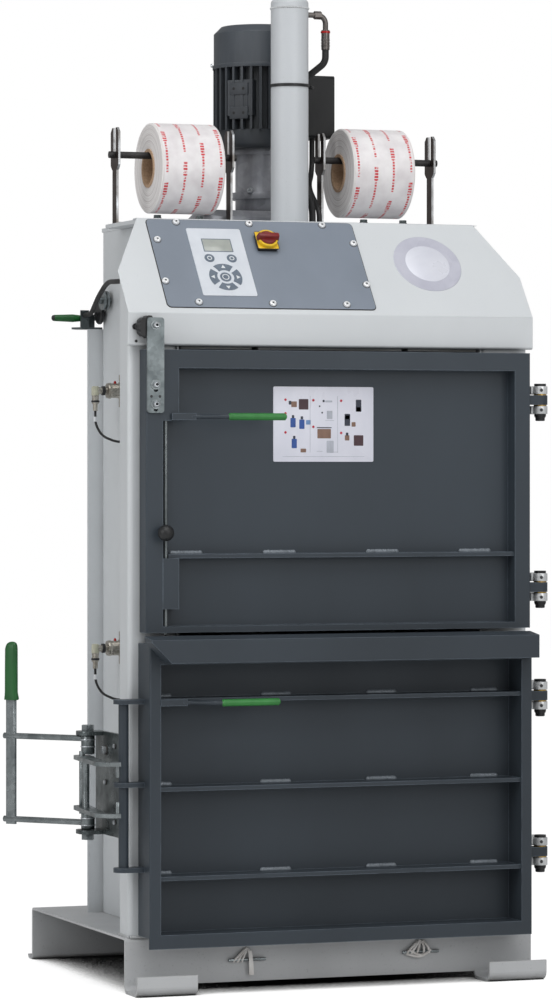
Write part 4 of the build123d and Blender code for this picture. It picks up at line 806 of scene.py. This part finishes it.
# placard: a bare white plate with fields of colour
placardLook = {"place": (-20.5, -8, 1114.5), "plate": (213, 149, 1.4, 3, 0.4), "ink": (0.25, 1.2),
               "dot": (2.6, 0.25)}
placardWide, placardTall, placardThick = placardLook["plate"][:3]
fieldColours = {"fieldBlue": (44, 84, 158), "fieldDark": (70, 44, 52), "fieldBrown": (134, 104, 88),
                "fieldSky": (120, 158, 206), "fieldInk": (44, 50, 66), "fieldGrey": (186, 190, 202),
                "fieldRed": (190, 30, 58)}
fields = [  # share across, share down, width share, height share, colour
    (0.205, 0.235, 0.055, 0.075, 3), (0.30, 0.235, 0.095, 0.14, 2), (0.195, 0.48, 0.052, 0.125, 1),
    (0.283, 0.50, 0.052, 0.125, 1), (0.347, 0.475, 0.046, 0.06, 4), (0.207, 0.757, 0.052, 0.125, 1),
    (0.297, 0.85, 0.055, 0.05, 3), (0.50, 0.19, 0.02, 0.03, 5), (0.55, 0.195, 0.07, 0.025, 6),
    (0.46, 0.26, 0.016, 0.022, 5), (0.485, 0.345, 0.016, 0.022, 5), (0.56, 0.375, 0.055, 0.11, 6),
    (0.505, 0.625, 0.135, 0.125, 3), (0.565, 0.80, 0.07, 0.16, 6), (0.85, 0.25, 0.055, 0.16, 5),
    (0.85, 0.30, 0.045, 0.06, 3), (0.737, 0.44, 0.055, 0.16, 5), (0.737, 0.405, 0.045, 0.05, 4),
    (0.365, 0.5, 0.004, 0.76, 6), (0.64, 0.5, 0.004, 0.76, 6), (0.5, 0.93, 0.82, 0.005, 6),
    (0.195, 0.40, 0.024, 0.04, 5), (0.283, 0.415, 0.024, 0.04, 5), (0.207, 0.675, 0.024, 0.04, 5),
    (0.165, 0.215, 0.026, 0.05, 5), (0.735, 0.63, 0.024, 0.04, 5), (0.505, 0.545, 0.15, 0.012, 5),
    (0.56, 0.45, 0.09, 0.006, 6), (0.46, 0.86, 0.06, 0.006, 6), (0.62, 0.87, 0.05, 0.006, 6),
    (0.80, 0.50, 0.04, 0.06, 3), (0.735, 0.68, 0.045, 0.07, 3), (0.85, 0.715, 0.095, 0.14, 2),
]
fieldDots = [(0.12, 0.175), (0.12, 0.357), (0.12, 0.61), (0.397, 0.18), (0.397, 0.535), (0.675, 0.185),
             (0.675, 0.615)]


def onPlacard(across, down):
    x, y, z = placardLook["place"]
    x += (across - 0.5) * placardWide
    z += (0.5 - down) * placardTall
    return facing(x, y - placardThick, z, frontWay)


placard = bmesh.new()
add(placard, roundedPlate(*placardLook["plate"]), facing(*placardLook["place"], frontWay))
for across, down, wide, tall, slot in fields:
    field = roundedPlate(wide * placardWide, tall * placardTall, *placardLook["ink"])
    add(placard, field, onPlacard(across, down), slot)
for across, down in fieldDots:
    add(placard, dot(*placardLook["dot"]), onPlacard(across, down), 7)
for name, colour in fieldColours.items():
    shade = tuple(int(c * 0.9) for c in colour)
    coat(name, colour, shade, 0.4, drift=90, specks=0.04, bump=0.03)
settle("door_placard", placard, "placardWhite " + " ".join(fieldColours), "upper_door")
print("placard and small bolts placed")

# weld stitches on the door ribs and round the column feet
weldLook = {"size": 11, "y": -9.5, "lift": 1.5, "upperRibs": [859], "lowerRibs": [579, 406, 232],
            "upperRuns": [(-340, -281), (-145, -85), (75, 135), (275, 335)],
            "lowerRuns": [(-380, -345), (-150, -95), (75, 130), (300, 350)]}
for door in ("upper", "lower"):
    welds = bmesh.new()
    for z in weldLook[door + "Ribs"]:
        for run in weldLook[door + "Runs"]:
            start, end = [(x, weldLook["y"], z + weldLook["lift"]) for x in run]
            bead(welds, start, end, weldLook["size"], frontWay)
    settle(door + "_welds", welds, "weldGrey", door + "_door", 60)
footLook = {"size": 6, "z": 110, "side": 425, "sideRun": (4, 61), "frontRun": (332, 420)}
footWelds = bmesh.new()
for sign in (-1, 1):
    start, end = [(sign * footLook["side"], y, footLook["z"]) for y in footLook["sideRun"]]
    bead(footWelds, start, end, footLook["size"], (sign, 0, 0))
    start, end = [(sign * x, 0, footLook["z"]) for x in footLook["frontRun"]]
    bead(footWelds, start, end, footLook["size"], frontWay)
settle("foot_welds", footWelds, "weldPale", "frame", 60)

# cylinder: cable tie, weld round the cap; hose: ferrule rings
tieLook = {"y": 237.5, "z": 1808, "radius": 38.5, "thickness": 1.8, "half": 3, "lock": (9, 7, 7, 1.0),
           "lockWay": (0.7, 0.72, 0), "tailRadius": 2.4,
           "tail": [(23.1, 32.725, 0), (46.5, 14, -1), (54.5, -2, -3), (42.5, -10, 0)]}
tie = bmesh.new()
r = tieLook["radius"]
add(tie, hoop(r, r + tieLook["thickness"], -tieLook["half"], tieLook["half"], 56),
    facing(0, tieLook["y"], tieLook["z"], upWay))
lockSpot = Vector(tieLook["lockWay"]) * r + Vector((0, tieLook["y"], tieLook["z"]))
add(tie, slab(*tieLook["lock"]), facing(*lockSpot, tieLook["lockWay"]))
add(tie, wire(tieLook["tail"], tieLook["tailRadius"]), upright(0, tieLook["y"], tieLook["z"]))
settle("cylinder_tie", tie, "switchBlack", "frame")
capWeldLook = {"drops": 56, "size": (2.6, 3.0), "radius": 37.7, "z": 1966}
capWeld = bmesh.new()
for k in range(capWeldLook["drops"]):
    out = outward(360 * k / capWeldLook["drops"])
    spot = out * capWeldLook["radius"]
    drop = bmesh.new()
    bmesh.ops.create_icosphere(drop, subdivisions=1, radius=rand.uniform(*capWeldLook["size"]))
    add(capWeld, drop, facing(spot.x, tieLook["y"] + spot.y, capWeldLook["z"], out))
settle("cap_weld", capWeld, "weldPale", "frame", 60)
ferruleLook = {"axis": (78.5, 237.5), "collarZ": 1921, "ringHeights": (1893, 1899, 1905),
               "collar": [(8.5, -2), (9.6, -2), (9.9, 0), (9.6, 2), (8.5, 2), (8.5, -2)],
               "ring": [(8.4, -1.4), (9.2, -0.6), (9.2, 0.6), (8.4, 1.4), (8.4, -1.4)]}
collar = bmesh.new()
add(collar, turned(ferruleLook["collar"], 32), facing(*ferruleLook["axis"], ferruleLook["collarZ"], upWay))
for z in ferruleLook["ringHeights"]:
    add(collar, turned(ferruleLook["ring"], 32), facing(*ferruleLook["axis"], z, upWay), 1)
settle("ferrule_rings", collar, "ledRed fittingSteel", "frame")
print("welds and ties made")

# motor: foot pads with webs, black discs for holes and a black block between the webs as painted shade, cowl
# screws; pump bolts
motorLook = {"y": 420, "way": (-0.721, -0.693, 0), "padOut": 81, "padHeights": [1811, 1761],
             "pad": (42, 25, 15, 1.6), "hole": (3.0, 0.15, 3.2), "holeSide": 11, "webZ": 1786,
             "web": (7, 30, 13, 1.4), "webSide": 16.5, "hollow": (27, 28, 11.5, 0.6)}
way = Vector(motorLook["way"]).normalized()


def onMotor(z):
    spot = way * motorLook["padOut"]
    return facing(spot.x, motorLook["y"] + spot.y, z, way)


pads = bmesh.new()
for z in motorLook["padHeights"]:
    add(pads, slab(*motorLook["pad"]), onMotor(z))
    for sign in (-1, 1):
        place = shifted(onMotor(z), sign * motorLook["holeSide"], z=motorLook["pad"][2])
        # black discs for the pad holes: painted shade
        add(pads, dot(*motorLook["hole"]), place, 1)
for sign in (-1, 1):
    add(pads, slab(*motorLook["web"]), shifted(onMotor(motorLook["webZ"]), sign * motorLook["webSide"]))
# a black block between the webs: painted shade in the hollow
add(pads, slab(*motorLook["hollow"]), onMotor(motorLook["webZ"]), 1)
settle("motor_pads", pads, "padPaint boxBlack", "frame")
motorScrews = {"cowl_screws": {"first": 40, "out": 96, "z": 1866, "head": (8.5, 4.5, 4.0)},
               "pump_bolts": {"first": 112.5, "out": 58, "z": 1602, "head": (13, 8, 6.5)}}
for name, look in motorScrews.items():
    heads = bmesh.new()
    for turn in (0, 120, 240):
        out = outward(look["first"] + turn)
        spot = out * look["out"]
        add(heads, socketHead(*look["head"]), facing(spot.x, motorLook["y"] + spot.y, look["z"], out))
    settle(name, heads, "brightZinc", "frame")

# strap ends looped round short rods at the base's front web
strapLook = {"rodRadius": 3, "half": 39, "rodY": -5.5, "sag": 0.6, "left": (-181, 57), "right": (189, 58),
             "strand": (2.0, 2.8), "depths": {3: [-5, -11, -3], 4: [-6, -11, -11, -6]},
             "tail": (9, 48), "tailThickness": 0.8, "tailPlace": (-176, -8, 75)}
strapRuns = {
    "left": [[(-28, -3), (-26, 4), (-2, 22)], [(-20, -4), (-17, 6), (0, 23)], [(-11, -4), (-9, 7), (2, 22)],
             [(6, -4), (7, 5), (3, 21)]],
    "right": [[(-31, -3), (-25, 6), (-5, 21)], [(-22, -7), (-15, 9), (-1, 23)], [(-9, -7), (-5, 10), (1, 22)],
              [(5, -6), (9, 8), (3, 21)], [(19, -3), (18, 10), (5, 22)],
              [(-30, -3), (-14, -9), (4, -8), (16, -1)], [(-24, 4), (-8, -6), (8, -6), (22, 3)]],
}
rods = bmesh.new()
tails = bmesh.new()
for side, runs in strapRuns.items():
    x, z = strapLook[side]
    half = strapLook["half"]
    line = [(-half, 0, 0), (0, 0, strapLook["sag"]), (half, 0, 0)]
    add(rods, wire(line, strapLook["rodRadius"]), upright(x, strapLook["rodY"], z))
    for run in runs:
        points = [(dx, y, dz) for (dx, dz), y in zip(run, strapLook["depths"][len(run)])]
        add(tails, wire(points, rand.uniform(*strapLook["strand"])), upright(x, 0, z))
wide, drop = strapLook["tail"]
tail = bmesh.new()
bmesh.ops.create_grid(tail, x_segments=3, y_segments=12, size=0.5)
bmesh.ops.scale(tail, vec=(wide, drop, 1), verts=tail.verts)
for vert in tail.verts:  # the loose end widens, drifts aside and curls as it falls
    fall = 0.5 - vert.co.y / drop
    bend = 1.4 + 3.0 * math.sin(fall * 3.0) + 0.8 * math.cos(vert.co.x)
    vert.co = Vector((vert.co.x * (0.8 + 0.35 * fall) + 3 * fall, vert.co.y - drop / 2, bend))
bmesh.ops.solidify(tail, geom=list(tail.faces), thickness=strapLook["tailThickness"])
add(tails, tail, facing(*strapLook["tailPlace"], frontWay))
settle("strap_rods", rods, "zincCoat", "frame")
settle("strap_tails", tails, "strapCloth", "frame", 60)

# door sensors: lamp, nut, plug sleeves and lead tag
sensorLook = {"side": -325, "y": 336, "heights": [1185, 661], "lampOut": 18, "lampUp": 14.5,
              "lamp": [(0, 6), (1.6, 5.4), (2.6, 3.6), (3, 0), (0, 0)], "nut": (31, 7, 0.8), "nutOut": 3}
plugParts = [  # profile, steps, distance out, drop, axis, material
    ([(14.5, 0), (16.2, 0.6), (16.2, 4.4), (14.5, 5), (14.5, 0)], 32, 27, 0, leftWay, 3),
    ([(7, 0), (9.4, 0.4), (9.8, 3), (9.4, 6), (7, 6.4), (7, 0)], 28, 40, 0, leftWay, 0),
    ([(0, 9), (5.6, 9), (7.9, 7), (7.9, -9), (7, -10), (0, -10)], 28, 60, 0, upWay, 1),
    ([(5, -2), (8.2, -2), (8.4, 0), (8.2, 2), (5, 2), (5, -2)], 28, 60, 22, upWay, 0),
    ([(2.4, -5), (3.9, -5), (3.9, 5), (2.4, 5), (2.4, -5)], 20, 60, 58, upWay, 2),
]
lamps = bmesh.new()
plugs = bmesh.new()
side, y = sensorLook["side"], sensorLook["y"]
for z in sensorLook["heights"]:
    lampPlace = facing(side - sensorLook["lampOut"], y, z + sensorLook["lampUp"], upWay)
    add(lamps, turned(sensorLook["lamp"], 18), lampPlace)
    add(plugs, hexagon(*sensorLook["nut"]), facing(side - sensorLook["nutOut"], y, z, leftWay), 3)
    for profile, steps, out, drop, axis, slot in plugParts:
        add(plugs, turned(profile, steps), facing(side - out, y, z - drop, axis), slot)
settle("sensor_lamps", lamps, "ledRed", "frame")
settle("sensor_plugs", plugs, "switchBlack plugCream tagWhite nickel", "frame")

# lock bracket: bolts through its back plate, thrust rings on the sleeves, moulded lever sleeve
bracketLook = {"face": -433, "pivot": (-457.5, 160), "ringHeights": [474, 488, 318, 332],
               "ring": [(13.2, -1.6), (14.6, -1), (14.9, 0), (14.6, 1), (13.2, 1.6), (13.2, -1.6)],
               "bolts": [(119, 469, (13, 7, 20)), (119, 405.5, (8, 3, 11)), (60, 480, (8, 3, 11)),
                         (60, 330, (8, 3, 11))]}
lockBolts = bmesh.new()
for y, z, bolt in bracketLook["bolts"]:
    hexBolt(lockBolts, facing(bracketLook["face"], y, z, leftWay), *bolt, 1)
settle("bracket_bolts", lockBolts, "brightZinc axleBlack", "frame")
sleeveRings = bmesh.new()
for z in bracketLook["ringHeights"]:
    add(sleeveRings, turned(bracketLook["ring"], 36), facing(*bracketLook["pivot"], z, upWay))
settle("sleeve_rings", sleeveRings, "brightZinc", "lock_lever")
sleeveLook = {"place": (-575.1, 296.3, 562), "turn": 130.8, "squareness": 0.72}
sleeveSections = [  # rise, width, depth, lean
    (0, 31, 15, 0), (3, 32, 15.6, -0.8), (8, 30, 15.4, -0.5), (16, 27.8, 15.2, 0), (60, 27.6, 15.2, 0),
    (102, 27, 15, -0.2), (109, 24.6, 13.8, -0.8), (113.5, 20, 11, -1.6), (116, 13, 7, -2.2),
    (117, 5, 3, -2.5),
]
sleeve = bmesh.new()
rim = bmesh.ops.create_circle(sleeve, cap_ends=False, segments=32, radius=1.0)["verts"]
outline = [[math.copysign(abs(c) ** sleeveLook["squareness"], c) for c in vert.co.xy] for vert in rim]
for k, (rise, wide, thick, lean) in enumerate(sleeveSections):
    if k:
        edges = [e for e in sleeve.edges if all(v in rim for v in e.verts)]
        raised = bmesh.ops.extrude_edge_only(sleeve, edges=edges)["geom"]
        fresh = [v for v in raised if isinstance(v, bmesh.types.BMVert)]
        above = {e.other_vert(v): v for v in fresh for e in v.link_edges if e.other_vert(v) in rim}
        rim = [above[vert] for vert in rim]
    for vert, (across, through) in zip(rim, outline):
        vert.co = Vector((across * wide / 2 + lean, through * thick / 2, rise))
bmesh.ops.holes_fill(sleeve, edges=[e for e in sleeve.edges if e.is_boundary])
leverSleeve = bmesh.new()
add(leverSleeve, sleeve, spun(upright(*sleeveLook["place"]), sleeveLook["turn"]))
leverSleeve = settle("lever_sleeve", leverSleeve, "leverGreen", "lock_lever", 50)
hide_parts("lever_grip")

# hinge block grub screws and the caps under the pins
hingeLook = {"x": 441, "front": -35, "heights": [1165, 787, 568, 253], "offset": 20, "grub": (3.0, 0.2, 3.4),
             "pin": (444.5, -20), "capDrop": 32.8,
             "cap": [(0, 0), (10.8, 0), (11.2, -2), (9.6, -3), (9.6, -8), (8.4, -9.4), (0, -9.4)]}
grubs = bmesh.new()
for z in hingeLook["heights"]:
    for sign in (-1, 1):
        place = facing(hingeLook["x"], hingeLook["front"], z + sign * hingeLook["offset"], frontWay)
        add(grubs, dot(*hingeLook["grub"]), place)
    add(grubs, turned(hingeLook["cap"], 28), facing(*hingeLook["pin"], z - hingeLook["capDrop"], upWay))
settle("hinge_grubs", grubs, "switchBlack", "frame")

# release lever end cap
releaseLook = {"place": (-421, 502, 1338), "cap": [(0, 5), (3.4, 4.6), (5.6, 3.0), (6.4, 0), (0, 0)]}
cap = bmesh.new()
add(cap, turned(releaseLook["cap"], 24), facing(*releaseLook["place"], leftWay))
settle("release_cap", cap, "hoseRubber", "release_lever")
print("straps, sensors and small fittings made")
